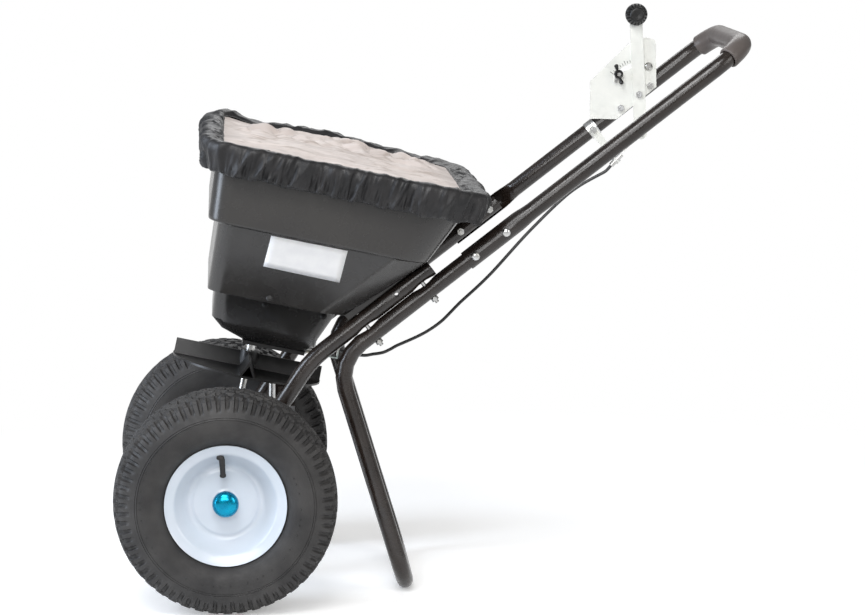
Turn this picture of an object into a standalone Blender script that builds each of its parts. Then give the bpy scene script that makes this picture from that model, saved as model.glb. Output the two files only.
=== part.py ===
"""Walk-behind broadcast spreader with a tilted hopper, a geared impeller and a fitted rain cover.

Metres, +Z up, ground at z = 0. The handle points along +X and the axle lies along Y.
"""

import math

import bmesh
import bpy
from mathutils import Matrix, Vector

# Driving dimensions: clearances
CLEAR = 0.0003
BOLT_CLEAR = 0.0003
SLIDE_CLEAR = 0.0005

# Driving dimensions: wheels and axle
TYRE_R = 0.165
TYRE_HALF_W = 0.0615
LUGS = 26
LUG_DEPTH = 0.0040
TRACK = 0.500
RIM_R = 0.0898
FLANGE_Y = 0.0450
BEAD_R = 0.0775
BEAD_Y = 0.0400
BEAD_GAP = 0.0004
WELL_R = 0.0640
WELL_Y = 0.0200
RIM_WALL = 0.0030
AXLE_R = 0.0080
AXLE_OVERHANG = 0.0350
HUB_R = 0.0165
HUB_OUT = 0.0300
HUB_IN = 0.0400
CAP_R = 0.0195
CAP_H = 0.0145
PIN_R = 0.0025
PIN_INSET = 0.0340
SPACER_R = 0.0110
BUSH_R = 0.0105
BUSH_FLANGE_R = 0.0150
BUSH_FLANGE_T = 0.0020
VALVE_L = 0.0340
VALVE_ANGLE = math.radians(95.3)

# Driving dimensions: tubular frame
TUBE_R = 0.0127
TUBE_BORE_R = 0.0108
FRAME_HALF_Y = 0.160
HANDLE_ANGLE = math.radians(37.6)
HANDLE_OVER_AXLE = 0.0617
FRAME_ANGLE = math.radians(56.3)
FRAME_END_U = 0.4094
FRAME_BEND_R = 0.150
LEG_LEAN = math.radians(16.8)
LEG_CORNER_U = 0.212
LEG_BEND_R = 0.065
LEG_FOOT_BEND_R = 0.050
LEG_TOP_U = 0.547
SADDLE_END_U = 0.457
SADDLE_TAPER_U = 0.552
SADDLE_ROUND_U = 0.580
SADDLE_WALL = 0.0014
SADDLE_WRAP = 100.0 / 90.0
TUBE_SIDES = 12
HANDLE_TOP_U = 0.980
HANDLE_BEND_R = 0.055
GRIP_R = 0.0165
GRIP_BEFORE_TOP = 0.0345
DRILL_L = 0.0900
STACK_BOLT_U = (0.280, 0.385)
JOINT_BOLT_U = (0.4722, 0.5298)
SIGHT_HOLE_U = 0.344
SIGHT_HOLE_R = 0.0035
BOLT_R = 0.0030
HEAD_T = 0.0026
SEAT_PRESS = 0.0030
SEAT_LENGTH = 0.0200
EYE_HALF_W = 0.0185
EYE_HALF_T = 0.0030
EYE_LENGTH = 0.0300
EYE_TAPER = 0.0600
BRACE_T = 0.0030
BRACE_W = 0.0250
BRACE_X = 0.0925
BRACE_TOP_OVER_AXLE = 0.1510
BRACE_DIP_OVER_AXLE = 0.0970

# Driving dimensions: hopper, measured along and across the tilted impeller shaft
TILT = math.radians(12.0)
WALL = 0.0035
FLOOR_H = 0.2120
FLOOR_FRONT = -0.0160
FLOOR_REAR = 0.0800
FLOOR_HALF = 0.0620
RIM_H = 0.4995
RIM_FRONT = -0.1145
RIM_REAR = 0.2685
RIM_HALF = 0.2500
RIM_FRONT_CORNER = 0.030
RIM_REAR_CORNER = (0.060, 0.050)
LIP = 0.0095
CORNER_STEPS = 4
RIB_W = 0.0160
RIB_U = (0.2640, 0.4040)
RIB_H = (0.0104, 0.0026)
BAND_FOOT_UP = 0.1890
BAND_TAPER = 0.0450

# From the floor up: height over the floor, how far front, rear and sides stand out, corner radii
WELL_SECTIONS = (
    (0.0000, 0.0000, 0.0000, 0.0000, 0.012, 0.012, 0.012),
    (0.0140, 0.0360, 0.0100, 0.0260, 0.020, 0.016, 0.014),
    (0.0300, 0.0540, 0.0145, 0.0430, 0.025, 0.018, 0.016),
)

# Up to the band: height over the floor, how far in from the rim front, rear and sides are, radii
BODY_SECTIONS = (
    (0.0760, 0.0390, 0.1565, 0.1250, 0.025, 0.020, 0.018),
    (0.0810, 0.0275, 0.1455, 0.0600, 0.025, 0.021, 0.018),
    (0.1850, 0.0220, 0.0470, 0.0150, 0.028, 0.062, 0.045),
)
SHAFT_R = 0.0050
SHAFT_TOP = 0.2500
PORT_X = 0.0550
PORT_L = 0.0190
PORT_W = 0.0240
PORT_PITCH = 0.0340

# Driving dimensions: gate and gears
GATE_TRAVEL = 0.0220
GATE_T = 0.0025
TAB_T = 0.0020
GATE_HALF_W = 0.0555
GATE_FRONT = -0.0127
GATE_END = 0.1040
GATE_TAIL_HALF = 0.0105
GUIDE_T = 0.0020
ANCHOR_T = 0.0020
ANCHOR_GAP = 0.0060
MODULE = 0.0025
GEAR_TEETH = 32
PINION_TEETH = 8
TOOTH_SHARE = 0.34
FACE_W = 0.0140
PINION_W = 0.0110
FACE_GEAR_T = 0.0070
CASE_R = 0.0540
CASE_WALL = 0.0030
CASE_STEPS = 22
STUD_X = 0.0730
STUD_R = 0.0050
ARM_T = 0.0060
ARM_Y = 0.0060
CASE_NEAR = 0.0310
CASE_FAR = 0.0220
NECK_R = 0.0110
NECK_TOP = 0.0750
SHAFT_FOOT = 0.0280

# Driving dimensions: impeller and cover
DISC_R = 0.1150
DISC_TOP = 0.1650
DISC_T = 0.0030
RIDGE_H = 0.0220
RIDGE_HALF_W = 0.0125
RIDGE_WALL = 0.0025
IMPELLER_HUB_R = 0.0150
IMPELLER_HUB_TOP = 0.1900
COLLAR_R = 0.0070
AGITATOR_R = 0.0450
AGITATOR_WIRE_R = 0.0025
CLOTH = 0.0020
COVER_RISE = 0.0085
COVER_DROP = 0.0410
COVER_FOLD = 0.0018
COVER_STRAIGHT = 5

# Driving dimensions: control
PIVOT_BEFORE_TOP = 0.1532
PLATE_BOLTS_FROM_PIVOT = (-0.0361, 0.0221)
PLATE_T = 0.0025
LEVER_T = 0.0030
LEVER_HALF_W = 0.0100
LEVER_UP = 0.1255
LEVER_DOWN = 0.0620
LEVER_LEAN = math.radians(2.8)
LEVER_GAP = 0.0005
STOP_R = 0.0460
STOP_HEAD_R = 0.0065
STOP_ANGLE = math.radians(136.2)
SLOT_ENDS = (math.radians(100.0), math.radians(145.0))

# Gauge plate's corners from the pivot: x, z, corner radius
GAUGE_OUTLINE = (
    (-0.0770, -0.0386, 0.002),
    (-0.0352, -0.0397, 0.002),
    (0.0276, 0.0110, 0.002),
    (0.0262, 0.0850, 0.006),
    (0.0100, 0.0890, 0.006),
    (-0.0160, 0.0800, 0.006),
    (-0.0510, 0.0457, 0.004),
    (-0.0773, 0.0205, 0.004),
)
STOP_T = 0.0046
WING_R = 0.0140
WING_H = 0.0095
KNOB_R = 0.0175
KNOB_H = 0.0220
CLAMP_BEFORE_PIVOT = 0.0913
CLAMP_W = 0.0160
CLAMP_WALL = 0.0015
STRIP_T = 0.0020
STRIP_HALF_W = 0.0060
ADJUSTER_DROP = 0.0598
ADJUSTER_R = 0.0042
ADJUSTER_BORE_R = 0.0030
ADJUSTER_L = 0.0240
CORE_FROM_LEVER = 0.0060
CORE_R = 0.0008
CORE_LEAN = 0.024
SHEATH_R = 0.0025
SHEATH_BORE_R = 0.0014
SHEATH_BORE_L = 0.0300
SHEATH_STEP = 0.0150

# The sheath from clamp to gate: share of the way, rise off the straight line, share of CORE_Y
SHEATH_ROUTE = (
    (0.1350, -0.0048, 0.9744),
    (0.3180, 0.0076, 0.9158),
    (0.5134, 0.0268, 0.8059),
    (0.6508, 0.0341, 0.6813),
    (0.7252, 0.0389, 0.5861),
    (0.7882, 0.0365, 0.4542),
    (0.8424, 0.0297, 0.3077),
    (0.8923, 0.0218, 0.1612),
    (0.9400, 0.0159, 0.0440),
)

# Sizes that follow from the ones above
DISH_EDGE_Y = BEAD_Y + 0.0022
PINION_R = MODULE * PINION_TEETH / 2.0
GEAR_R = MODULE * GEAR_TEETH / 2.0
TIP_ADD = MODULE * 0.70
ROOT_ADD = MODULE * 0.95
HANDLE_FOOT_Z = TYRE_R + HANDLE_OVER_AXLE
BRACE_TOP = TYRE_R + BRACE_TOP_OVER_AXLE
BRACE_DIP = TYRE_R + BRACE_DIP_OVER_AXLE
STACK_W = 2.0 * TUBE_R + CLEAR
SADDLE_IN_R = (TUBE_R + CLEAR) / math.cos(math.pi / TUBE_SIDES * SADDLE_WRAP)
SADDLE_OUT_R = SADDLE_IN_R + SADDLE_WALL
PIVOT_U = HANDLE_TOP_U - PIVOT_BEFORE_TOP
PLATE_BOLT_U = tuple(PIVOT_U + reach for reach in PLATE_BOLTS_FROM_PIVOT)
CLAMP_U = PIVOT_U - CLAMP_BEFORE_PIVOT
GRIP_START_U = HANDLE_TOP_U - GRIP_BEFORE_TOP
GATE_TOP = FLOOR_H - SLIDE_CLEAR
GUIDE_TOP = GATE_TOP - GATE_T - SLIDE_CLEAR
GUIDE_FOOT = GUIDE_TOP - GUIDE_T
WIRE_H = GATE_TOP + 0.0046
TAB_X = GATE_END - 0.0080
ANCHOR_X = GATE_END + GATE_TRAVEL + ANCHOR_GAP
BUSH_BARREL_R = SHAFT_R + 0.0028
COVER_TOP = RIM_H + COVER_RISE
COVER_HEM = COVER_TOP - COVER_DROP
PLATE_Y = FRAME_HALF_Y - TUBE_R - CLEAR - PLATE_T / 2.0
LEVER_FACE = PLATE_Y - PLATE_T / 2.0 - LEVER_GAP
LEVER_Y = LEVER_FACE - LEVER_T / 2.0
CORE_Y = LEVER_Y - CORE_FROM_LEVER
STRIP_Y = FRAME_HALF_Y - TUBE_R - CLEAR - CLAMP_WALL - CLEAR - STRIP_T / 2.0
LEVER_AXIS = math.pi / 2.0 + LEVER_LEAN
STOP_WIDTH = math.asin((LEVER_HALF_W + STOP_HEAD_R + CLEAR) / STOP_R)
CLOSED_ANGLE = LEVER_AXIS - STOP_WIDTH
LEVER_SWING = STOP_ANGLE - STOP_WIDTH - LEVER_AXIS
FLAT = (math.pi / 2.0, 0.0, 0.0)
SIDES = (("near", -1.0), ("far", 1.0))


def clear_scene():
    for obj in list(bpy.data.objects):
        bpy.data.objects.remove(obj, do_unlink=True)


clear_scene()
PARTS = bpy.data.collections.new("broadcast_spreader")
CUTTERS = bpy.data.collections.new("cutters")
bpy.context.scene.collection.children.link(PARTS)
bpy.context.scene.collection.children.link(CUTTERS)


# Materials

def material(name, colour, roughness, metallic=0.0):
    mat = bpy.data.materials.new(name)
    mat.use_nodes = True
    shader = mat.node_tree.nodes["Principled BSDF"]
    shader.inputs["Base Color"].default_value = (*colour, 1.0)
    shader.inputs["Roughness"].default_value = roughness
    shader.inputs["Metallic"].default_value = metallic
    return mat


BLACK_PAINT = material("black_paint", (0.022, 0.020, 0.019), 0.38)
ZINC = material("zinc", (0.74, 0.75, 0.74), 0.32, 1.0)
RIM_WHITE = material("rim_white", (0.80, 0.84, 0.90), 0.22)
CAP_TEAL = material("cap_teal", (0.01, 0.27, 0.42), 0.22, 0.9)
TYRE_RUBBER = material("tyre_rubber", (0.035, 0.033, 0.032), 0.75)
BLACK_RUBBER = material("black_rubber", (0.02, 0.02, 0.02), 0.6)
GRIP_RUBBER = material("grip_rubber", (0.10, 0.085, 0.08), 0.45)
HOPPER_PLASTIC = material("hopper_plastic", (0.030, 0.029, 0.028), 0.42)
BLACK_PLASTIC = material("black_plastic", (0.02, 0.02, 0.02), 0.4)
NYLON = material("nylon", (0.62, 0.60, 0.55), 0.5)
CABLE_BLACK = material("cable_black", (0.03, 0.03, 0.03), 0.5)
COVER_CLOTH = material("cover_cloth", (0.02, 0.02, 0.022), 0.7)
WINDOW_VINYL = material("window_vinyl", (0.62, 0.58, 0.58), 0.25)


# Guides that carry the parts: axle, tilted hopper frame, handle line and lever pivot

def guide(name, parent, location=(0.0, 0.0, 0.0), about_y=0.0):
    empty = bpy.data.objects.new(name, None)
    PARTS.objects.link(empty)
    empty.parent = parent
    empty.location = location
    empty.rotation_euler = (0.0, about_y, 0.0)
    return empty


def on_handle(u, w=0.0):
    """World x, z of a point u along the handle line and w above it."""
    x = u * math.cos(HANDLE_ANGLE) - w * math.sin(HANDLE_ANGLE)
    z = HANDLE_FOOT_Z + u * math.sin(HANDLE_ANGLE) + w * math.cos(HANDLE_ANGLE)
    return x, z


HANDLE_REACH = (HANDLE_TOP_U * math.cos(HANDLE_ANGLE)) + GRIP_R
SHIFT_X = -(HANDLE_REACH - TYRE_R) / 2.0
ORIGIN = guide("origin", None, (SHIFT_X, 0.0, 0.0))
AXLE = guide("axle_line", ORIGIN, (0.0, 0.0, TYRE_R))
TILTED = guide("shaft_line", AXLE, about_y=TILT)
HANDLE = guide("handle_line", ORIGIN, (0.0, 0.0, HANDLE_FOOT_Z), -HANDLE_ANGLE)
PIVOT_X, PIVOT_Z = on_handle(PIVOT_U)
PIVOT = guide("lever_pivot", ORIGIN, (PIVOT_X, 0.0, PIVOT_Z))


# Modelling helpers

def add(name, mesh, mat=None, parent=ORIGIN, location=(0.0, 0.0, 0.0), rotation=(0.0, 0.0, 0.0)):
    obj = bpy.data.objects.new(name, mesh)
    obj.parent = parent
    obj.location = location
    obj.rotation_euler = rotation
    if mat is None:
        CUTTERS.objects.link(obj)
        obj.hide_render = True
        obj.display_type = "WIRE"
        return obj
    PARTS.objects.link(obj)
    mesh.materials.append(mat)
    return obj


def smooth(obj, degrees=35.0):
    obj.data.shade_smooth()
    obj.data.set_sharp_from_angle(angle=math.radians(degrees))


def finish_bmesh(bm, name):
    bmesh.ops.recalc_face_normals(bm, faces=bm.faces)
    mesh = bpy.data.meshes.new(name)
    bm.to_mesh(mesh)
    bm.free()
    return mesh


def weld(mesh, distance=0.00002):
    bm = bmesh.new()
    bm.from_mesh(mesh)
    bmesh.ops.remove_doubles(bm, verts=bm.verts, dist=distance)
    bmesh.ops.recalc_face_normals(bm, faces=bm.faces)
    bm.to_mesh(mesh)
    bm.free()


def evaluated_mesh(obj):
    depsgraph = bpy.context.evaluated_depsgraph_get()
    return bpy.data.meshes.new_from_object(obj.evaluated_get(depsgraph))


def curve_mesh(name, curve):
    """The closed mesh of a curve, with its loose caps welded on."""
    obj = bpy.data.objects.new(name, curve)
    CUTTERS.objects.link(obj)
    bpy.context.view_layer.update()
    mesh = evaluated_mesh(obj)
    bpy.data.objects.remove(obj, do_unlink=True)
    mesh.name = name
    weld(mesh)
    return mesh


def tube_mesh(name, points, radius, resolution=4, capped=True):
    """A tube of 4 + 2 x resolution sides along a path."""
    curve = bpy.data.curves.new(name, "CURVE")
    curve.dimensions = "3D"
    curve.bevel_depth = radius
    curve.bevel_resolution = resolution
    curve.use_fill_caps = capped
    spline = curve.splines.new("POLY")
    spline.points.add(len(points) - 1)
    for point, place in zip(spline.points, points):
        point.co = (*place, 1.0)
    return curve_mesh(name, curve)


def plate_mesh(name, outline, thickness, holes=()):
    """A flat outline in x, y with its holes, extruded to both sides of z = 0."""
    curve = bpy.data.curves.new(name, "CURVE")
    curve.dimensions = "2D"
    curve.fill_mode = "BOTH"
    curve.extrude = thickness / 2.0
    for loop in (outline, *holes):
        spline = curve.splines.new("POLY")
        spline.points.add(len(loop) - 1)
        for point, place in zip(spline.points, loop):
            point.co = (place[0], place[1], 0.0, 1.0)
        spline.use_cyclic_u = True
    return curve_mesh(name, curve)


def turned_mesh(name, profile, steps, closed):
    """A profile of (radius, height) points turned about Z by a Screw modifier."""
    mesh = bpy.data.meshes.new(name)
    edges = [(i, i + 1) for i in range(len(profile) - 1)]
    if closed:
        edges.append((len(profile) - 1, 0))
    mesh.from_pydata([(r, 0.0, h) for r, h in profile], edges, [])
    obj = bpy.data.objects.new(name, mesh)
    CUTTERS.objects.link(obj)
    screw = obj.modifiers.new("turn", "SCREW")
    screw.axis = "Z"
    screw.steps = steps
    screw.render_steps = steps
    screw.use_merge_vertices = True
    screw.merge_threshold = 0.00001
    bpy.context.view_layer.update()
    turned = evaluated_mesh(obj)
    bpy.data.objects.remove(obj, do_unlink=True)
    weld(turned)
    return turned


def cylinder_mesh(name, radius, length, segments=24):
    bm = bmesh.new()
    bmesh.ops.create_cone(
        bm, cap_ends=True, segments=segments, radius1=radius, radius2=radius, depth=length
    )
    return finish_bmesh(bm, name)


def box_mesh(name, size):
    bm = bmesh.new()
    bmesh.ops.create_cube(bm, size=1.0)
    bmesh.ops.scale(bm, vec=size, verts=bm.verts)
    return finish_bmesh(bm, name)


def box_between(name, low, high, mat=None, parent=ORIGIN):
    size = [b - a for a, b in zip(low, high)]
    centre = [(a + b) / 2.0 for a, b in zip(low, high)]
    return add(name, box_mesh(name, size), mat, parent, centre)


def combine(obj, other, operation):
    step = obj.modifiers.new(operation.lower(), "BOOLEAN")
    step.operation = operation
    step.object = other
    step.solver = "EXACT"


def cut(obj, *cutters):
    for cutter in cutters:
        combine(obj, cutter, "DIFFERENCE")


def join(obj, *others):
    for other in others:
        combine(obj, other, "UNION")


def along_y(sign):
    """Rotation that turns a shape's +Z towards -Y (near side) or +Y (far side)."""
    return (-sign * math.pi / 2.0, 0.0, 0.0)


def arc(centre, radius, start, end, steps):
    return [
        (
            centre[0] + radius * math.cos(start + (end - start) * i / steps),
            centre[1] + radius * math.sin(start + (end - start) * i / steps),
        )
        for i in range(steps + 1)
    ]


def rounded_path(corners, step=math.radians(9.0)):
    """Points along straight runs with an arc of the given radius at each (point, radius) corner."""
    places = [Vector(p) for p, _ in corners]
    path = [places[0]]
    for i in range(1, len(places) - 1):
        radius = corners[i][1]
        back = (places[i - 1] - places[i]).normalized()
        ahead = (places[i + 1] - places[i]).normalized()
        turn = math.pi - back.angle(ahead)
        if radius == 0.0 or turn < 0.001:
            path.append(places[i])
            continue
        centre = places[i] + (back + ahead).normalized() * (radius / math.cos(turn / 2.0))
        first = places[i] + back * (radius * math.tan(turn / 2.0))
        spoke = first - centre
        axis = back.cross(ahead).normalized()
        count = max(3, math.ceil(turn / step))
        for k in range(count + 1):
            angle = -turn * k / count
            path.append(centre + spoke * math.cos(angle) + axis.cross(spoke) * math.sin(angle))
    path.append(places[-1])
    return path


def loft_mesh(name, rings, cap_start=True, cap_end=True):
    """Skin over rings of equal length, for shells between unlike sections."""
    bm = bmesh.new()
    loops = [[bm.verts.new(p) for p in ring] for ring in rings]
    count = len(loops[0])
    for low, high in zip(loops, loops[1:]):
        for i in range(count):
            j = (i + 1) % count
            bm.faces.new((low[i], low[j], high[j], high[i]))
    if cap_start:
        bm.faces.new(loops[0])
    if cap_end:
        bm.faces.new(loops[-1])
    return finish_bmesh(bm, name)


def box_outline(x_low, x_high, y_low, y_high):
    return [(x_low, y_low), (x_high, y_low), (x_high, y_high), (x_low, y_high)]


def circle(centre, radius, steps=12):
    return arc(centre, radius, 0.0, 2.0 * math.pi * (steps - 1) / steps, steps - 1)


def capsule(start, end, half, steps=6):
    """A strip with round ends between two points."""
    angle = math.atan2(end[1] - start[1], end[0] - start[0])
    quarter = math.pi / 2.0
    return arc(end, half, angle - quarter, angle + quarter, steps) + arc(
        start, half, angle + quarter, angle + 3.0 * quarter, steps
    )


def curved_slot(radius, first, last, half, steps=8):
    """A slot along an arc about the origin."""
    ends = [(radius * math.cos(a), radius * math.sin(a)) for a in (first, last)]
    outer = arc((0.0, 0.0), radius + half, first, last, steps)
    far_end = arc(ends[1], half, last, last + math.pi, 4)[1:-1]
    inner = arc((0.0, 0.0), radius - half, last, first, steps)
    near_end = arc(ends[0], half, first + math.pi, first + 2.0 * math.pi, 4)[1:-1]
    return outer + far_end + inner + near_end


def filleted(corners, steps=3):
    """A closed outline of (x, y, fillet radius) corners."""
    outline = []
    count = len(corners)
    for i, (x, y, radius) in enumerate(corners):
        corner = Vector((x, y))
        back = (Vector(corners[i - 1][:2]) - corner).normalized()
        ahead = (Vector(corners[(i + 1) % count][:2]) - corner).normalized()
        reach = radius / math.tan(back.angle(ahead) / 2.0)
        first = corner + back * reach
        last = corner + ahead * reach
        for k in range(steps + 1):
            t = k / steps
            outline.append(first * (1 - t) ** 2 + corner * 2 * t * (1 - t) + last * t**2)
    return outline


def bent_strip(points, thickness):
    """The edge view of a strip bent along a line of points, as a closed outline."""
    places = [Vector(p) for p in points]
    left = []
    right = []
    for i, place in enumerate(places):
        back = (place - places[i - 1]).normalized() if i else None
        ahead = (places[i + 1] - place).normalized() if i + 1 < len(places) else None
        back = back or ahead
        ahead = ahead or back
        along = (back + ahead).normalized()
        normal = Vector((-along.y, along.x))
        reach = thickness / 2.0 / max(0.3, along.dot(back))
        left.append(place + normal * reach)
        right.append(place - normal * reach)
    return left + right[::-1]


def with_stops(path, stops):
    """The path with extra points where it passes through the given stops."""
    result = [path[0]]
    for start, end in zip(path, path[1:]):
        run = end - start
        found = []
        for stop in stops:
            share = (stop - start).dot(run) / run.length_squared
            if 0.001 < share < 0.999 and (start + run * share - stop).length < 0.00005:
                found.append(share)
        result += [start + run * share for share in sorted(found)]
        result.append(end)
    return result


def smooth_route(points, spacing):
    """Evenly spaced points on a smooth curve through a route's own points."""
    places = [Vector(p) for p in points]
    padded = [places[0] * 2 - places[1], *places, places[-1] * 2 - places[-2]]
    route = [places[0]]
    for p0, p1, p2, p3 in zip(padded, padded[1:], padded[2:], padded[3:]):
        count = max(1, round((p2 - p1).length / spacing))
        for k in range(1, count + 1):
            t = k / count
            route.append(
                0.5 * (2 * p1 + (p2 - p0) * t + (2 * p0 - 5 * p1 + 4 * p2 - p3) * t**2
                       + (3 * p1 - p0 - 3 * p2 + p3) * t**3)
            )
    return route


def bolt_mesh(name, radius, head_r, head_t, grip, tip=0.0040, sides=6, nut=True):
    """Head on z = 0, shank down through the grip, then a nut and the thread's end."""
    nut_r = radius * 1.85
    nut_t = radius * 1.6

    def ring(size, z, six_sided=False):
        flat = math.cos(math.pi / 6.0) if six_sided and sides == 12 else 1.0
        return [
            (
                size * (flat if i % 2 else 1.0) * math.cos(2 * math.pi * i / sides),
                size * (flat if i % 2 else 1.0) * math.sin(2 * math.pi * i / sides),
                z,
            )
            for i in range(sides)
        ]

    rings = [
        ring(head_r * 0.65, head_t),
        ring(head_r, head_t * 0.35),
        ring(head_r, 0.0),
        ring(radius, 0.0),
    ]
    end = -grip - tip
    if nut:
        rings += [ring(radius, -grip), ring(nut_r, -grip, True), ring(nut_r, -grip - nut_t, True)]
        rings += [ring(radius, -grip - nut_t)]
        end -= nut_t
    rings.append(ring(radius, end))
    return loft_mesh(name, rings)


# Wheels, axle and the gear on it

def rim_mesh():
    outer = [
        (RIM_R, FLANGE_Y + 0.0040),
        (RIM_R, FLANGE_Y),
        (BEAD_R, BEAD_Y),
        (WELL_R, WELL_Y),
    ]
    inner = [(BEAD_R - RIM_WALL, DISH_EDGE_Y), (WELL_R - RIM_WALL, WELL_Y)]
    bore = AXLE_R + CLEAR
    hub = [
        (WELL_R - RIM_WALL, WELL_Y - 0.0115),
        (0.0480, 0.0095),
        (HUB_R, 0.0140),
        (HUB_R, -HUB_IN),
        (bore, -HUB_IN),
        (bore, HUB_OUT),
        (HUB_R, HUB_OUT),
        (HUB_R, 0.0180),
        (0.0470, 0.0135),
    ]
    low_side = [(r, -h) for r, h in reversed(outer)] + [(r, -h) for r, h in inner]
    return turned_mesh("rim", outer + low_side + hub + inner[::-1], 24, True)


def tyre_mesh():
    shoulder = [
        (TYRE_R - 0.0025, TYRE_HALF_W * 0.585),
        (TYRE_R - 0.0090, TYRE_HALF_W * 0.837),
        (TYRE_R - 0.0340, TYRE_HALF_W),
        (RIM_R + 0.0010, FLANGE_Y - BEAD_GAP + 0.0004),
        (BEAD_R + 0.0010, BEAD_Y - BEAD_GAP),
    ]
    half = [*shoulder, (TYRE_R - 0.0160, TYRE_HALF_W * 0.70)]
    profile = [(TYRE_R, 0.0), *[(r, -h) for r, h in half], *half[::-1]]
    mesh = turned_mesh("tyre", profile, 2 * LUGS, True)
    column = math.pi / LUGS
    for vert in mesh.vertices:
        radius = math.hypot(vert.co.x, vert.co.y)
        index = round(math.atan2(vert.co.y, vert.co.x) / column)
        if index % 2 and radius > TYRE_R - 0.0120 and abs(vert.co.z) > TYRE_HALF_W * 0.5:
            depth = LUG_DEPTH if radius < TYRE_R - 0.0050 else LUG_DEPTH * 0.4
            vert.co.x *= 1.0 - depth / radius
            vert.co.y *= 1.0 - depth / radius
            vert.co.z -= math.copysign(depth * 0.6, vert.co.z)
    return mesh


def cap_mesh():
    base = HUB_OUT + CLEAR
    profile = [
        (0.0, base + CAP_H),
        (CAP_R * 0.45, base + CAP_H - 0.0009),
        (CAP_R * 0.80, base + CAP_H - 0.0042),
        (CAP_R, base + CAP_H - 0.0100),
        (CAP_R, base),
        (CAP_R - 0.0045, base),
        (CAP_R - 0.0055, base + CAP_H - 0.0060),
        (0.0, base + CAP_H - 0.0035),
    ]
    return turned_mesh("hub_cap", profile, 16, False)


def valve_mesh():
    profile = [
        (0.0, VALVE_L),
        (0.0036, VALVE_L - 0.0005),
        (0.0036, VALVE_L * 0.62),
        (0.0030, VALVE_L * 0.60),
        (0.0052, 0.0060),
        (0.0065, 0.0015),
        (0.0065, 0.0),
        (0.0, 0.0),
    ]
    return turned_mesh("valve", profile, 10, False)


def build_wheel(prefix, sign, rim, tyre, cap, valve):
    """Rim, tyre, hub cap and valve, with the wheel's outer face towards its own side."""
    place = (0.0, sign * TRACK / 2.0, 0.0)
    parts = [
        add(prefix + "_rim", rim, RIM_WHITE, AXLE, place, along_y(sign)),
        add(prefix + "_tyre", tyre, TYRE_RUBBER, AXLE, place, along_y(sign)),
        add(prefix + "_hub_cap", cap, CAP_TEAL, AXLE, place, along_y(sign)),
    ]
    low = Vector((WELL_R - RIM_WALL, WELL_Y))
    high = Vector((BEAD_R - RIM_WALL, DISH_EDGE_Y))
    slope = (high - low).normalized()
    seat = low.lerp(high, 0.40) + Vector((-slope.y, slope.x)) * (CLEAR + 0.0004)
    across = Vector((math.cos(VALVE_ANGLE), math.sin(VALVE_ANGLE), 0.0))
    foot = across * seat.x + Vector((0.0, 0.0, seat.y))
    out = across * -slope.y + Vector((0.0, 0.0, slope.x))
    turn = out.to_track_quat("Z", "Y").to_euler()
    parts.append(add(prefix + "_valve", valve, BLACK_RUBBER, parts[0], foot, turn))
    for part in parts:
        smooth(part)
    return parts[0]


def build_wheels():
    meshes = (rim_mesh(), tyre_mesh(), cap_mesh(), valve_mesh())
    drive_rim = build_wheel("drive", -1.0, *meshes)
    build_wheel("idler", 1.0, *meshes)
    cut(drive_rim, pin_cutter())


def pin_place():
    return (0.0, -(TRACK / 2.0 - PIN_INSET), 0.0)


def pin_cutter():
    length = 2.0 * HUB_R + 0.0200
    mesh = cylinder_mesh("pin_hole", PIN_R + BOLT_CLEAR, length, 12)
    return add("pin_hole", mesh, None, AXLE, pin_place(), (0.0, math.pi / 2.0, 0.0))


def build_axle():
    length = TRACK + 2.0 * AXLE_OVERHANG
    axle = add("axle", cylinder_mesh("axle", AXLE_R, length, 20), ZINC, AXLE)
    axle.rotation_euler = along_y(1.0)
    cut(axle, pin_cutter())
    smooth(axle)
    pin = cylinder_mesh("drive_pin", PIN_R, 2.0 * HUB_R + 0.0080, 10)
    smooth(add("drive_pin", pin, ZINC, AXLE, pin_place(), (0.0, math.pi / 2.0, 0.0)))


def bush_edge():
    """Distance from the middle to the outer face of an axle bush."""
    return FRAME_HALF_Y + EYE_HALF_T + CLEAR + BUSH_FLANGE_T


def build_axle_bushes():
    inner = FRAME_HALF_Y - EYE_HALF_T - CLEAR
    flange = bush_edge() - BUSH_FLANGE_T
    bore = AXLE_R + CLEAR
    profile = [
        (BUSH_FLANGE_R, bush_edge()),
        (BUSH_FLANGE_R, flange),
        (BUSH_R, flange),
        (BUSH_R, inner),
        (bore, inner),
        (bore, bush_edge()),
    ]
    mesh = turned_mesh("axle_bush", profile, 16, True)
    for side, sign in SIDES:
        smooth(add("axle_bush_" + side, mesh, NYLON, AXLE, rotation=along_y(sign)))


def build_spacers():
    start = bush_edge() + CLEAR
    end = TRACK / 2.0 - HUB_IN - CLEAR
    bore = AXLE_R + CLEAR
    profile = [(SPACER_R, end), (SPACER_R, start), (bore, start), (bore, end)]
    mesh = turned_mesh("wheel_spacer", profile, 16, True)
    for side, sign in SIDES:
        smooth(add("wheel_spacer_" + side, mesh, ZINC, AXLE, rotation=along_y(sign)))


# Gears

def tooth_outline(teeth, root_r, pitch_r, tip_r, first):
    """Straight-flanked teeth round a circle, with a gap at angle zero for first = 0.5."""
    pitch = 2.0 * math.pi / teeth
    half = pitch * TOOTH_SHARE / 2.0
    outline = []
    for tooth in range(teeth):
        middle = (tooth + first) * pitch
        for radius, offset in (
            (root_r, -half * 1.45),
            (tip_r, -half * pitch_r / tip_r * 0.75),
            (tip_r, half * pitch_r / tip_r * 0.75),
            (root_r, half * 1.45),
        ):
            angle = middle + offset
            outline.append((radius * math.cos(angle), radius * math.sin(angle)))
    return outline


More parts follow.
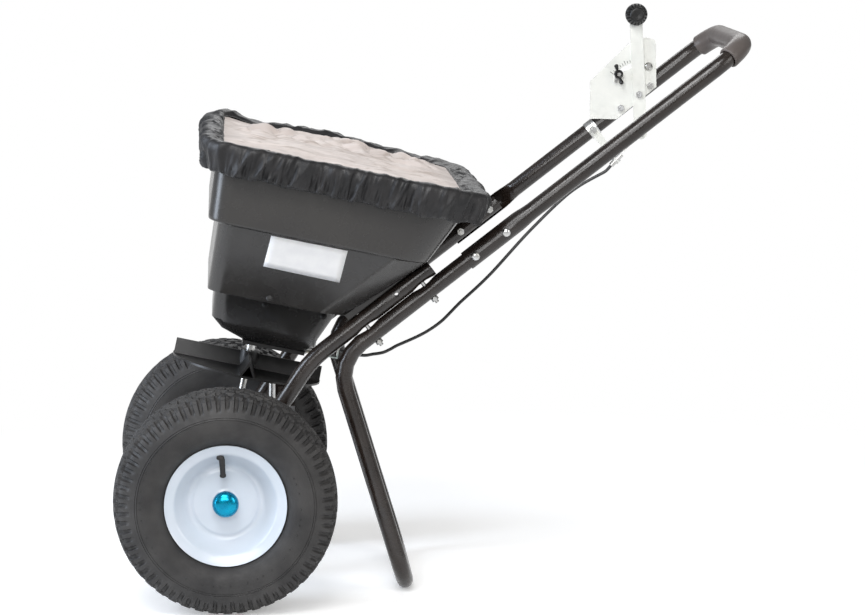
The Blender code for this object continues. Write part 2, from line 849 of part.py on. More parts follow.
def build_pinion():
    """The small gear on the shaft, with a tooth towards the face gear."""
    outline = tooth_outline(
        PINION_TEETH, PINION_R - ROOT_ADD, PINION_R, PINION_R + TIP_ADD, 0.0
    )
    mesh = plate_mesh("pinion", outline, PINION_W, [circle((0.0, 0.0), SHAFT_R + CLEAR, 16)])
    add("pinion", mesh, ZINC, TILTED, (0.0, 0.0, GEAR_R), (0.0, 0.0, -math.pi / 2.0))


def build_face_gear():
    """Crown gear on the axle: long radial teeth, with a gap over the pinion's tooth."""
    face = PINION_R - TIP_ADD
    inner_r = GEAR_R - FACE_W / 2.0
    outer_r = GEAR_R + FACE_W / 2.0
    pitch = 2.0 * math.pi / GEAR_TEETH
    half = pitch * TOOTH_SHARE / 2.0
    outline = []
    for tooth in range(GEAR_TEETH):
        middle = (tooth + 0.5) * pitch + math.pi / 2.0
        for radius, share in ((inner_r, -1.15), (outer_r, -0.85), (outer_r, 0.85), (inner_r, 1.15)):
            angle = middle + half * share
            outline.append((radius * math.cos(angle), radius * math.sin(angle)))
    bore = AXLE_R + CLEAR
    mesh = plate_mesh("face_gear", outline, FACE_GEAR_T, [circle((0.0, 0.0), bore, 16)])
    place = (0.0, -face - FACE_GEAR_T / 2.0, 0.0)
    gear = add("face_gear", mesh, ZINC, TILTED, place, along_y(-1.0))
    foot = -face - FACE_GEAR_T
    profile = [
        (0.0150, foot + 0.0020),
        (0.0150, foot - 0.0060),
        (bore, foot - 0.0060),
        (bore, foot + 0.0020),
    ]
    boss = turned_mesh("gear_boss", profile, 16, True)
    join(gear, add("gear_boss", boss, None, TILTED, rotation=along_y(1.0)))


def case_shape():
    """The whole gear case, from which each half is cut."""
    length = CASE_NEAR + CASE_FAR
    middle = (CASE_FAR - CASE_NEAR) / 2.0
    inner_r = CASE_R - CASE_WALL

    def across(name, radius, width, steps):
        mesh = cylinder_mesh(name, radius, width, steps)
        return add(name, mesh, None, TILTED, (0.0, middle, 0.0), along_y(1.0))

    def upright(name, radius, low, high, steps=16):
        mesh = cylinder_mesh(name, radius, high - low, steps)
        return add(name, mesh, None, TILTED, (0.0, 0.0, (low + high) / 2.0))

    solids = upright("case_neck", NECK_R, 0.0, NECK_TOP)
    holes = (
        across("case_room", inner_r, length - 2.0 * CASE_WALL, CASE_STEPS),
        across("case_axle_hole", AXLE_R + CLEAR + 0.0002, length + 0.0200, 16),
        upright("case_shaft_hole", SHAFT_R + CLEAR, SHAFT_FOOT, NECK_TOP + 0.0100, 12),
    )
    return length, middle, solids, holes


def build_gear_case():
    length, middle, neck, holes = case_shape()
    reach = 2.0 * NECK_TOP
    for side, sign in SIDES:
        body = cylinder_mesh("gear_case_" + side, CASE_R, length, CASE_STEPS)
        half = add("gear_case_" + side, body, BLACK_PAINT, TILTED, (0.0, middle, 0.0), along_y(1.0))
        join(half, neck)
        if sign > 0:
            join(half, *torque_arm())
        limits = (-reach, CLEAR / 2.0) if sign > 0 else (-CLEAR / 2.0, reach)
        cut(half, *holes)
        low = (-reach, limits[0], -reach)
        high = (reach, limits[1], reach)
        cutter = box_between("case_split_" + side, low, high, None, TILTED)
        cut(half, cutter)
        if sign > 0:
            cut(half, stud_hole("arm_stud_hole"))
        smooth(half)


def brace_under():
    return BRACE_DIP - BRACE_T / 2.0


def torque_arm():
    """The lug of the far case half that the stud ties to the cross brace."""
    top = brace_under() - CLEAR
    pad = box_between(
        "arm_pad",
        (STUD_X - 0.0110, -0.0110, top - ARM_T),
        (STUD_X + 0.0110, 0.0110, top),
    )
    angle = math.atan2(top - ARM_T / 2.0 - TYRE_R, STUD_X)
    reach = math.hypot(top - ARM_T / 2.0 - TYRE_R, STUD_X)
    inner = CASE_R - CASE_WALL / 2.0
    arm = box_mesh("arm_bar", (reach - inner, ARM_Y, 0.0120))
    middle = (reach + inner) / 2.0
    bar = add(
        "arm_bar",
        arm,
        None,
        ORIGIN,
        (middle * math.cos(angle), 0.0110 - ARM_Y / 2.0, TYRE_R + middle * math.sin(angle)),
        (0.0, -angle, 0.0),
    )
    return pad, bar


def stud_hole(name):
    mesh = cylinder_mesh(name, STUD_R + BOLT_CLEAR, 0.0600, 12)
    return add(name, mesh, None, ORIGIN, (STUD_X, 0.0, BRACE_DIP))


def build_case_stud():
    """Stud screwed into the case's lug, with a nut over the brace."""
    nut_r = STUD_R * 1.75
    nut_t = 0.0060
    low = brace_under() - CLEAR - ARM_T
    high = BRACE_DIP + BRACE_T / 2.0 + CLEAR
    top = BRACE_DIP + 0.0430
    profile = [
        (0.0, top),
        (STUD_R, top),
        (STUD_R, high + nut_t),
        (nut_r, high + nut_t),
        (nut_r, high),
        (STUD_R, high),
        (STUD_R, low),
        (0.0, low),
    ]
    add("case_stud", turned_mesh("case_stud", profile, 12, False), ZINC, ORIGIN, (STUD_X, 0.0, 0.0))


def build_cross_brace():
    """A flat strap between the two frame tubes, dipped under the impeller."""
    tab = FRAME_HALF_Y - TUBE_R - CLEAR - BRACE_T / 2.0
    bend_z = BRACE_TOP - 0.0280
    foot = tab - 0.0330
    points = [
        (-tab, BRACE_TOP),
        (-tab, bend_z),
        (-foot, BRACE_DIP),
        (foot, BRACE_DIP),
        (tab, bend_z),
        (tab, BRACE_TOP),
    ]
    mesh = plate_mesh("cross_brace", bent_strip(points, BRACE_T), BRACE_W)
    turn = (math.pi / 2.0, 0.0, math.pi / 2.0)
    brace = add("cross_brace", mesh, BLACK_PAINT, ORIGIN, (BRACE_X, 0.0, 0.0), turn)
    cut(brace, stud_hole("brace_stud_hole"))


# Tubular frame

def to_handle(x, z):
    u = x * math.cos(HANDLE_ANGLE) + (z - HANDLE_FOOT_Z) * math.sin(HANDLE_ANGLE)
    w = -x * math.sin(HANDLE_ANGLE) + (z - HANDLE_FOOT_Z) * math.cos(HANDLE_ANGLE)
    return u, w


def handle_point(u, w, y=0.0):
    x, z = on_handle(u, w)
    return Vector((x, y, z))


def seat_stops(w, y=0.0):
    shares = (-1.0, -0.35, 0.35, 1.0)
    return [handle_point(u + SEAT_LENGTH * s, w, y) for u in STACK_BOLT_U for s in shares]


def press_seats(mesh, w, sign):
    """Dent a tube's lower (-1) or upper (+1) side where the bolts pull the tubes together."""
    for vert in mesh.vertices:
        u, height = to_handle(vert.co.x, vert.co.z)
        lift = sign * (height - w) / TUBE_R
        if lift <= 0.0 or abs(height - w) > TUBE_R * 1.01:
            continue
        for bolt_u in STACK_BOLT_U:
            share = abs(u - bolt_u) / SEAT_LENGTH
            if share < 1.0:
                dent = -sign * SEAT_PRESS * lift * math.cos(share * math.pi / 2.0) ** 2
                vert.co.x -= dent * math.sin(HANDLE_ANGLE)
                vert.co.z += dent * math.cos(HANDLE_ANGLE)


def open_end(mesh, end, along):
    """Hollow out the tube's square-cut end, so that its wall shows."""
    bm = bmesh.new()
    bm.from_mesh(mesh)
    cap = []
    for face in bm.faces:
        if face.normal.dot(along) > 0.99 and (face.calc_center_median() - end).length < TUBE_R:
            cap.append(face)
    face = bmesh.ops.dissolve_faces(bm, faces=cap)["region"][0]
    bmesh.ops.inset_region(bm, faces=[face], thickness=TUBE_R - TUBE_BORE_R, use_even_offset=True)
    floor = bmesh.ops.extrude_discrete_faces(bm, faces=[face])["faces"][0]
    bmesh.ops.translate(bm, verts=floor.verts, vec=-along * TUBE_BORE_R * 1.2)
    bm.to_mesh(mesh)
    bm.free()


def flatten_eye(mesh, eye, up):
    """Press the tube's lower end into a flat, round-ended eye for the axle."""
    across = Vector((-up.z, 0.0, up.x))

    def squared(value):
        return math.copysign(math.sqrt(abs(value)), value)

    for vert in mesh.vertices:
        offset = vert.co - eye
        along = offset.dot(up)
        if along > EYE_TAPER:
            continue
        angle = math.atan2(vert.co.y, offset.dot(across))
        share = min(1.0, max(0.0, (EYE_TAPER - along) / (EYE_TAPER - EYE_LENGTH)))
        share = share * share * (3.0 - 2.0 * share)
        width = EYE_HALF_W
        if along < 0.0:
            width = math.sqrt(max(0.0, EYE_HALF_W**2 - along**2))
        flat_w = width * squared(math.cos(angle))
        flat_y = EYE_HALF_T * squared(math.sin(angle))
        new_w = flat_w * share + TUBE_R * math.cos(angle) * (1.0 - share)
        new_y = flat_y * share + TUBE_R * math.sin(angle) * (1.0 - share)
        vert.co = eye + up * along + across * new_w
        vert.co.y = new_y


def frame_tube_mesh():
    eye = Vector((0.0, 0.0, TYRE_R))
    up = Vector((math.cos(FRAME_ANGLE), 0.0, math.sin(FRAME_ANGLE)))
    eye_w = to_handle(0.0, TYRE_R)[1]
    corner = eye + up * ((STACK_W - eye_w) / math.sin(FRAME_ANGLE - HANDLE_ANGLE))
    end = handle_point(FRAME_END_U, STACK_W)
    start = eye - up * (EYE_HALF_W - 0.0004)
    path = rounded_path([(start, 0.0), (corner, FRAME_BEND_R), (end, 0.0)], math.radians(6.5))
    marks = [-0.95, -0.75, -0.4, 0.0, 0.6]
    stops = [eye + up * (EYE_HALF_W * m) for m in marks]
    taper = EYE_TAPER - EYE_LENGTH
    stops += [eye + up * (EYE_LENGTH + taper * t) for t in (0.0, 0.33, 0.67, 1.0)]
    path = with_stops(path, stops + seat_stops(STACK_W))
    mesh = tube_mesh("frame_tube", path, TUBE_R)
    flatten_eye(mesh, eye, up)
    press_seats(mesh, STACK_W, -1.0)
    open_end(mesh, end, (handle_point(1.0, 0.0) - handle_point(0.0, 0.0)).normalized())
    return mesh


def handle_drill(name, u, w, y, radius, length, direction):
    """A cutter through a tube: across it along Y, along W, or along the tube itself."""
    mesh = cylinder_mesh(name, radius, length, 12)
    mesh.transform(Matrix.Rotation(math.pi / 12.0, 4, "Z"))
    turns = {
        "y": (math.pi / 2.0, 0.0, 0.0),
        "w": (0.0, 0.0, 0.0),
        "u": (0.0, math.pi / 2.0, 0.0),
    }
    return add(name, mesh, None, HANDLE, (u, y, w), turns[direction])


def build_frame_tubes():
    mesh = frame_tube_mesh()
    for side, sign in SIDES:
        y = sign * FRAME_HALF_Y
        tube = add("frame_tube_" + side, mesh, BLACK_PAINT, ORIGIN, (0.0, y, 0.0))
        sight = handle_drill("sight_" + side, SIGHT_HOLE_U, STACK_W, y, SIGHT_HOLE_R, 0.04, "y")
        eye = cylinder_mesh("eye_hole_" + side, BUSH_R + CLEAR, 0.0400, 20)
        eye = add("eye_hole_" + side, eye, None, AXLE, (0.0, y, 0.0), along_y(1.0))
        cut(tube, sight, eye)
        cut(tube, *stack_drills(side, sign))
        smooth(tube)


def stack_drills(side, sign):
    radius = BOLT_R + BOLT_CLEAR
    y = sign * FRAME_HALF_Y
    return [
        handle_drill(f"stack_hole_{side}_{i}", u, STACK_W / 2.0, y, radius, DRILL_L, "w")
        for i, u in enumerate(STACK_BOLT_U)
    ]


def joint_drills(side, sign):
    radius = BOLT_R + BOLT_CLEAR
    y = sign * FRAME_HALF_Y
    return [
        handle_drill(f"joint_hole_{side}_{i}", u, 0.0, y, radius, DRILL_L, "y")
        for i, u in enumerate(JOINT_BOLT_U)
    ]


def leg_corner():
    return handle_point(LEG_CORNER_U, 0.0)


def leg_mesh():
    """One tube: down the handle line, forward round the corner, down the leg and across."""
    corner = leg_corner()
    drop = corner.z - TUBE_R
    foot = Vector((corner.x + drop * math.tan(LEG_LEAN), 0.0, TUBE_R))
    half = [
        (handle_point(LEG_TOP_U, 0.0), 0.0),
        (corner, LEG_BEND_R),
        (foot, LEG_FOOT_BEND_R),
    ]
    near = [(p + Vector((0.0, -FRAME_HALF_Y, 0.0)), r) for p, r in half]
    far = [(p + Vector((0.0, FRAME_HALF_Y, 0.0)), r) for p, r in reversed(half)]
    stops = seat_stops(0.0, -FRAME_HALF_Y) + seat_stops(0.0, FRAME_HALF_Y)
    path = with_stops(rounded_path(near + far, math.radians(18.0)), stops)
    mesh = tube_mesh("leg_stand", path, TUBE_R)
    press_seats(mesh, 0.0, 1.0)
    return mesh


def build_leg_stand():
    leg = add("leg_stand", leg_mesh(), BLACK_PAINT)
    for side, sign in SIDES:
        cut(leg, *stack_drills(side, sign), *joint_drills(side, sign))
    smooth(leg)


def handle_path(start_u, stops=()):
    corners = [
        (Vector((start_u, -FRAME_HALF_Y, 0.0)), 0.0),
        (Vector((HANDLE_TOP_U, -FRAME_HALF_Y, 0.0)), HANDLE_BEND_R),
        (Vector((HANDLE_TOP_U, FRAME_HALF_Y, 0.0)), HANDLE_BEND_R),
        (Vector((start_u, FRAME_HALF_Y, 0.0)), 0.0),
    ]
    path = rounded_path(corners, math.radians(18.0))
    marks = [Vector((u, s * FRAME_HALF_Y, 0.0)) for u in stops for s in (-1.0, 1.0)]
    return with_stops(path, marks)


def press_saddles(mesh):
    """Press the handle's two ends into saddles round the outer side of the leg tube."""
    quarter = math.pi / 2.0
    for vert in mesh.vertices:
        if vert.co.x > SADDLE_ROUND_U:
            continue
        side = math.copysign(1.0, vert.co.y)
        outward = side * vert.co.y - FRAME_HALF_Y
        angle = math.atan2(vert.co.z, outward)
        if abs(angle) < quarter + 0.001:
            wrap = angle * SADDLE_WRAP
            radius = SADDLE_OUT_R
        else:
            wrap = math.copysign(math.pi - abs(angle), angle) * SADDLE_WRAP
            radius = SADDLE_IN_R
        share = min(1.0, (SADDLE_ROUND_U - vert.co.x) / (SADDLE_ROUND_U - SADDLE_TAPER_U))
        share = share * share * (3.0 - 2.0 * share)
        flat = Vector((radius * math.cos(wrap), radius * math.sin(wrap)))
        spot = Vector((outward, vert.co.z)).lerp(flat, share)
        vert.co.y = side * (FRAME_HALF_Y + spot.x)
        vert.co.z = spot.y


def control_drills():
    bolts = (*PLATE_BOLT_U, PIVOT_U, CLAMP_U)
    radius = BOLT_R + BOLT_CLEAR
    return [
        handle_drill(f"control_hole_{i}", u, 0.0, FRAME_HALF_Y, radius, DRILL_L, "y")
        for i, u in enumerate(bolts)
    ]


def build_handle():
    blend = [SADDLE_TAPER_U + (SADDLE_ROUND_U - SADDLE_TAPER_U) * t for t in (0.0, 0.35, 0.65, 1.0)]
    path = handle_path(SADDLE_END_U, blend)
    mesh = tube_mesh("handle", path, TUBE_R)
    press_saddles(mesh)
    handle = add("handle", mesh, BLACK_PAINT, HANDLE)
    for side, sign in SIDES:
        cut(handle, *joint_drills(side, sign))
    cut(handle, *control_drills())
    smooth(handle)


def beyond(path, u):
    """The stretch of a handle path past u, cut off square at both its ends."""
    kept = []
    for here, after in zip(path, path[1:]):
        if (here.x > u) != (after.x > u):
            kept.append(here.lerp(after, (u - here.x) / (after.x - here.x)))
        if after.x > u:
            kept.append(after)
    return kept


def build_grip():
    bore = (TUBE_R + CLEAR) / math.cos(math.pi / TUBE_SIDES)
    path = beyond(handle_path(SADDLE_ROUND_U), GRIP_START_U)
    mesh = tube_mesh("grip", path, GRIP_R, capped=False)
    grip = add("grip", mesh, GRIP_RUBBER, HANDLE)
    shell = grip.modifiers.new("sleeve", "SOLIDIFY")
    shell.thickness = GRIP_R - bore
    shell.offset = -1.0
    shell.use_even_offset = True
    smooth(grip)


def build_stack_bolts():
    """Bolts through both stacked tubes, with their heads under the hopper."""
    head_r = BOLT_R * 1.9
    top = STACK_W + TUBE_R + CLEAR
    grip = top + TUBE_R + CLEAR
    mesh = bolt_mesh("stack_bolt", BOLT_R, head_r, HEAD_T, grip)
    for side, sign in SIDES:
        for label, u in zip(("lower", "upper"), STACK_BOLT_U):
            place = (u, sign * FRAME_HALF_Y, top)
            add(f"stack_bolt_{side}_{label}", mesh, ZINC, HANDLE, place)


def build_joint_bolts():
    """Bolts across the handle joint, heads outside and nuts towards the middle."""
    grip = SADDLE_OUT_R + CLEAR + TUBE_R + CLEAR
    mesh = bolt_mesh("joint_bolt", BOLT_R, BOLT_R * 2.2, HEAD_T, grip)
    out = FRAME_HALF_Y + SADDLE_OUT_R + CLEAR
    for side, sign in SIDES:
        for label, u in zip(("lower", "upper"), JOINT_BOLT_U):
            place = (u, sign * out, 0.0)
            bolt = add(f"joint_bolt_{side}_{label}", mesh, ZINC, HANDLE, place, along_y(sign))
            smooth(bolt)


# Hopper, its floor and its gate

def shell_ring(section, grow=0.0):
    """A rounded rectangle of a hopper section: height, front, rear, half width, corner sizes."""
    height, front, rear, half, front_r, rear_rx, rear_ry = section
    corners = (
        (rear - rear_rx, half - rear_ry, rear_rx, rear_ry),
        (front + front_r, half - front_r, front_r, front_r),
        (front + front_r, front_r - half, front_r, front_r),
        (rear - rear_rx, rear_ry - half, rear_rx, rear_ry),
    )
    ring = []
    for quarter, (x, y, rx, ry) in enumerate(corners):
        for i in range(CORNER_STEPS + 1):
            angle = math.pi / 2.0 * (quarter + i / CORNER_STEPS)
            ring.append(
                (x + (rx + grow) * math.cos(angle), y + (ry + grow) * math.sin(angle), height)
            )
    return ring


def rim_section(height, share=1.0):
    """The band's section: full size at the rim, drawn in a little at its foot."""
    taper = (1.0 - share) * BAND_TAPER
    return (
        height,
        RIM_FRONT + taper * 0.15,
        RIM_REAR - taper,
        RIM_HALF - taper * 0.11,
        RIM_FRONT_CORNER,
        *RIM_REAR_CORNER,
    )


def hopper_rings():
    well = [
        (FLOOR_H + up, FLOOR_FRONT - front, FLOOR_REAR + rear, FLOOR_HALF + half, *corners)
        for up, front, rear, half, *corners in WELL_SECTIONS
    ]
    body = [
        (FLOOR_H + up, RIM_FRONT + front, RIM_REAR - rear, RIM_HALF - half, *corners)
        for up, front, rear, half, *corners in BODY_SECTIONS
    ]
    band = [rim_section(FLOOR_H + BAND_FOOT_UP, 0.0), rim_section(RIM_H - WALL)]
    rings = [shell_ring(section) for section in well + body + band]
    rings.append(shell_ring(rim_section(RIM_H - WALL), LIP))
    return rings


def build_hopper():
    mesh = loft_mesh("hopper", hopper_rings(), cap_end=False)
    mesh.flip_normals()
    hopper = add("hopper", mesh, HOPPER_PLASTIC, TILTED)
    shell = hopper.modifiers.new("wall", "SOLIDIFY")
    shell.thickness = WALL
    shell.offset = -1.0
    shell.use_even_offset = True
    join(hopper, *mount_ribs())
    cut(hopper, *port_cutters(), bush_hole(), *bolt_pockets())
    smooth(hopper, 28.0)


def mount_ribs():
    """Two ribs under the rear wall that sit on the frame tubes."""
    foot = STACK_W + TUBE_R + CLEAR
    start, end = RIB_U
    profile = [(start, foot), (end, foot), (end, foot + RIB_H[1]), (start, foot + RIB_H[0])]
    outline = [on_handle(u, w) for u, w in profile]
    ribs = []
    for side, sign in SIDES:
        mesh = plate_mesh("mount_rib_" + side, outline, RIB_W)
        place = (0.0, sign * FRAME_HALF_Y, 0.0)
        ribs.append(add("mount_rib_" + side, mesh, None, ORIGIN, place, (math.pi / 2.0, 0.0, 0.0)))
    return ribs


def bolt_pockets():
    """Room in the ribs for the heads of the stack bolts."""
    foot = STACK_W + TUBE_R
    depth = HEAD_T + 2.0 * CLEAR
    pockets = []
    for side, sign in SIDES:
        for i, u in enumerate(STACK_BOLT_U):
            mesh = cylinder_mesh(f"bolt_pocket_{side}_{i}", BOLT_R * 1.9 + 0.0012, 2.0 * depth, 12)
            place = (u, sign * FRAME_HALF_Y, foot)
            pockets.append(add(f"bolt_pocket_{side}_{i}", mesh, None, HANDLE, place))
    return pockets


def ports(x):
    """The three slots in a row across the floor, centred at x."""
    half_l = PORT_L / 2.0
    half_w = PORT_W / 2.0
    rows = (-PORT_PITCH, 0.0, PORT_PITCH)
    return [box_outline(x - half_l, x + half_l, y - half_w, y + half_w) for y in rows]


def port_cutters():
    cutters = []
    for i, outline in enumerate(ports(PORT_X)):
        mesh = plate_mesh(f"port_{i}", outline, 4.0 * WALL)
        cutters.append(add(f"port_{i}", mesh, None, TILTED, (0.0, 0.0, FLOOR_H)))
    return cutters


def bush_hole():
    mesh = cylinder_mesh("bush_hole", BUSH_BARREL_R + CLEAR, 4.0 * WALL, 20)
    return add("bush_hole", mesh, None, TILTED, (0.0, 0.0, FLOOR_H))


def build_shaft_bush():
    floor = FLOOR_H + WALL + CLEAR
    bore = SHAFT_R + CLEAR
    profile = [
        (BUSH_BARREL_R + 0.0032, floor + 0.0020),
        (BUSH_BARREL_R + 0.0032, floor),
        (BUSH_BARREL_R, floor),
        (BUSH_BARREL_R, FLOOR_H),
        (bore, FLOOR_H),
        (bore, floor + 0.0020),
    ]
    smooth(add("shaft_bush", turned_mesh("shaft_bush", profile, 16, True), NYLON, TILTED))


def build_gate_guide():
    """Tray under the floor with a rail along each side of the gate."""
    outline = box_outline(FLOOR_FRONT, FLOOR_REAR, -FLOOR_HALF, FLOOR_HALF)
    shaft_hole = circle((0.0, 0.0), SHAFT_R + 0.0008, 16)
    mesh = plate_mesh("gate_guide", outline, GUIDE_T, [*ports(PORT_X), shaft_hole])
    place = (0.0, 0.0, GUIDE_FOOT + GUIDE_T / 2.0)
    guide_plate = add("gate_guide", mesh, BLACK_PLASTIC, TILTED, place)
    rail_foot = GUIDE_FOOT + GUIDE_T / 2.0
    for side, sign in SIDES:
        edges = sorted((sign * (GATE_HALF_W + SLIDE_CLEAR), sign * FLOOR_HALF))
        rail = box_between(
            "guide_rail_" + side,
            (FLOOR_FRONT, edges[0], rail_foot),
            (FLOOR_REAR, edges[1], FLOOR_H - CLEAR),
            None,
            TILTED,
        )
        join(guide_plate, rail)


def build_gate_plate():
    """Flat shutter with three windows, an open slot for the shaft and an upturned tail."""
    narrow = FLOOR_REAR + 0.0030
    notch = SHAFT_R + 0.0020
    slot_end = SHAFT_R + 0.0010
    outline = [
        (GATE_FRONT, -GATE_HALF_W),
        (narrow, -GATE_HALF_W),
        (narrow, -GATE_TAIL_HALF),
        (GATE_END, -GATE_TAIL_HALF),
        (GATE_END, GATE_TAIL_HALF),
        (narrow, GATE_TAIL_HALF),
        (narrow, GATE_HALF_W),
        (GATE_FRONT, GATE_HALF_W),
        (GATE_FRONT, notch),
        *arc((slot_end - notch / 2.0, 0.0), notch, math.pi / 2.0, -math.pi / 2.0, 6),
        (GATE_FRONT, -notch),
    ]
    windows = ports(PORT_X - GATE_TRAVEL)
    mesh = plate_mesh("gate_plate", outline, GATE_T, windows)
    gate = add("gate_plate", mesh, ZINC, TILTED, (0.0, 0.0, GATE_TOP - GATE_T / 2.0))
    tab = box_between(
        "gate_tab",
        (TAB_X - TAB_T / 2.0, -0.0090, GATE_TOP - GATE_T / 2.0),
        (TAB_X + TAB_T / 2.0, 0.0090, WIRE_H + 0.0070),
        None,
        TILTED,
    )
    join(gate, tab)
    cut(gate, wire_hole("tab_hole", TAB_X))


def wire_hole(name, x):
    mesh = cylinder_mesh(name, CORE_R + CLEAR + 0.0003, 0.0120, 8)
    return add(name, mesh, None, TILTED, (x, 0.0, WIRE_H), (0.0, math.pi / 2.0, 0.0))


def build_gate_wire():
    """Bare end of the inner cable, with its crimped nipple in front of the gate's tab."""
    nipple = TAB_X - TAB_T / 2.0 - CLEAR
    tail = ANCHOR_X + ANCHOR_T + 0.0060
    profile = [
        (0.0, tail),
        (CORE_R, tail),
        (CORE_R, nipple),
        (0.0026, nipple),
        (0.0026, nipple - 0.0035),
        (0.0, nipple - 0.0035),
    ]
    mesh = turned_mesh("gate_wire", profile, 8, False)
    add("gate_wire", mesh, ZINC, TILTED, (0.0, 0.0, WIRE_H), (0.0, math.pi / 2.0, 0.0))


def build_cable_anchor():
    """Bent strap from under the guide to behind the gate, which holds the cable's sheath."""
    foot = GUIDE_FOOT - CLEAR - ANCHOR_T / 2.0
    start = PORT_X + PORT_L / 2.0 + 0.0020
    end = ANCHOR_X + ANCHOR_T / 2.0
    profile = [(start, foot), (end, foot), (end, WIRE_H + 0.0070)]
    mesh = plate_mesh("cable_anchor", bent_strip(profile, ANCHOR_T), 0.0200)
    anchor = add("cable_anchor", mesh, ZINC, TILTED, rotation=(math.pi / 2.0, 0.0, 0.0))
    cut(anchor, wire_hole("anchor_hole", end))


# Impeller and its shaft

def build_impeller_shaft():
    length = SHAFT_TOP - SHAFT_FOOT
    middle = (SHAFT_TOP + SHAFT_FOOT) / 2.0
    mesh = cylinder_mesh("impeller_shaft", SHAFT_R, length, 16)
    shaft = add("impeller_shaft", mesh, ZINC, TILTED, (0.0, 0.0, middle))
    cross = cylinder_mesh("agitator_hole", AGITATOR_WIRE_R + BOLT_CLEAR, 0.0300, 10)
    turn = (0.0, math.pi / 2.0, 0.0)
    cut(shaft, add("agitator_hole", cross, None, TILTED, (0.0, 0.0, agitator_height()), turn))
    smooth(shaft)


def agitator_height():
    return SHAFT_TOP - 2.0 * AGITATOR_WIRE_R


def build_agitator():
    """A bent wire through the shaft's top that stirs the grain over the floor."""
    level = agitator_height()
    points = [
        (-AGITATOR_R, 0.0, level + 0.0120),
        (-AGITATOR_R * 0.72, 0.0, level),
        (AGITATOR_R * 0.72, 0.0, level),
        (AGITATOR_R, 0.0, level + 0.0120),
    ]
    mesh = tube_mesh("agitator", [Vector(p) for p in points], AGITATOR_WIRE_R, 2)
    smooth(add("agitator", mesh, ZINC, TILTED))


def ridge_outline():
    """End view of one hollow roof-shaped blade, standing on the disc."""
    slope = math.hypot(RIDGE_HALF_W, RIDGE_H) / RIDGE_H
    side = RIDGE_WALL * slope
    foot = -DISC_T / 2.0
    return [
        (-RIDGE_HALF_W, foot),
        (-0.0016, RIDGE_H),
        (0.0016, RIDGE_H),
        (RIDGE_HALF_W, foot),
        (RIDGE_HALF_W - side, foot),
        (0.0, RIDGE_H - 2.2 * RIDGE_WALL),
        (side - RIDGE_HALF_W, foot),
    ]


def build_impeller():
    disc = cylinder_mesh("impeller", DISC_R, DISC_T, 36)
    impeller = add("impeller", disc, BLACK_PLASTIC, TILTED, (0.0, 0.0, DISC_TOP - DISC_T / 2.0))
    start = IMPELLER_HUB_R * 0.6
    ridge = plate_mesh("ridge", ridge_outline(), DISC_R - 0.0015 - start)
    middle = (DISC_R - 0.0015 + start) / 2.0
    blades = []
    for i in range(4):
        angle = i * math.pi / 2.0
        place = (middle * math.cos(angle), middle * math.sin(angle), DISC_TOP)
        turn = (math.pi / 2.0, 0.0, angle + math.pi / 2.0)
        blades.append(add(f"ridge_{i}", ridge, None, TILTED, place, turn))
    height = IMPELLER_HUB_TOP - DISC_TOP + DISC_T
    hub = cylinder_mesh("impeller_hub", IMPELLER_HUB_R, height, 20)
    hub = add("impeller_hub", hub, None, TILTED, (0.0, 0.0, IMPELLER_HUB_TOP - height / 2.0))
    join(impeller, *blades, hub)
    bore = cylinder_mesh("impeller_bore", SHAFT_R + CLEAR, 0.1000, 16)
    cut(impeller, add("impeller_bore", bore, None, TILTED, (0.0, 0.0, DISC_TOP)))
    smooth(impeller, 25.0)


def build_shaft_collar():
    low = IMPELLER_HUB_TOP + CLEAR
    high = GUIDE_FOOT - ANCHOR_T
    bore = SHAFT_R + CLEAR
    profile = [(COLLAR_R, high), (COLLAR_R, low), (bore, low), (bore, high)]
    smooth(add("shaft_collar", turned_mesh("shaft_collar", profile, 16, True), ZINC, TILTED))


# Rain cover: a gathered cloth border round a clear window, laid over the hopper's lip

def cover_ring(height, grow, share=1.0, fold=0.0):
    """The rim's outline at a height, grown outwards or drawn in towards its middle."""
    ring = shell_ring((height, *rim_section(height)[1:]), LIP + grow)
    middle = (RIM_FRONT + RIM_REAR) / 2.0
    result = []
    for i, (start, end) in enumerate(zip(ring, ring[1:] + ring[:1])):
        count = 1 if (Vector(end) - Vector(start)).length < 0.0500 else COVER_STRAIGHT
        for k in range(count):
            spot = Vector(start).lerp(Vector(end), k / count)
            sign = 1.0 if (len(result) % 2) else -1.0
            reach = share + sign * fold
            result.append((middle + (spot.x - middle) * reach, spot.y * reach, height))
    return result


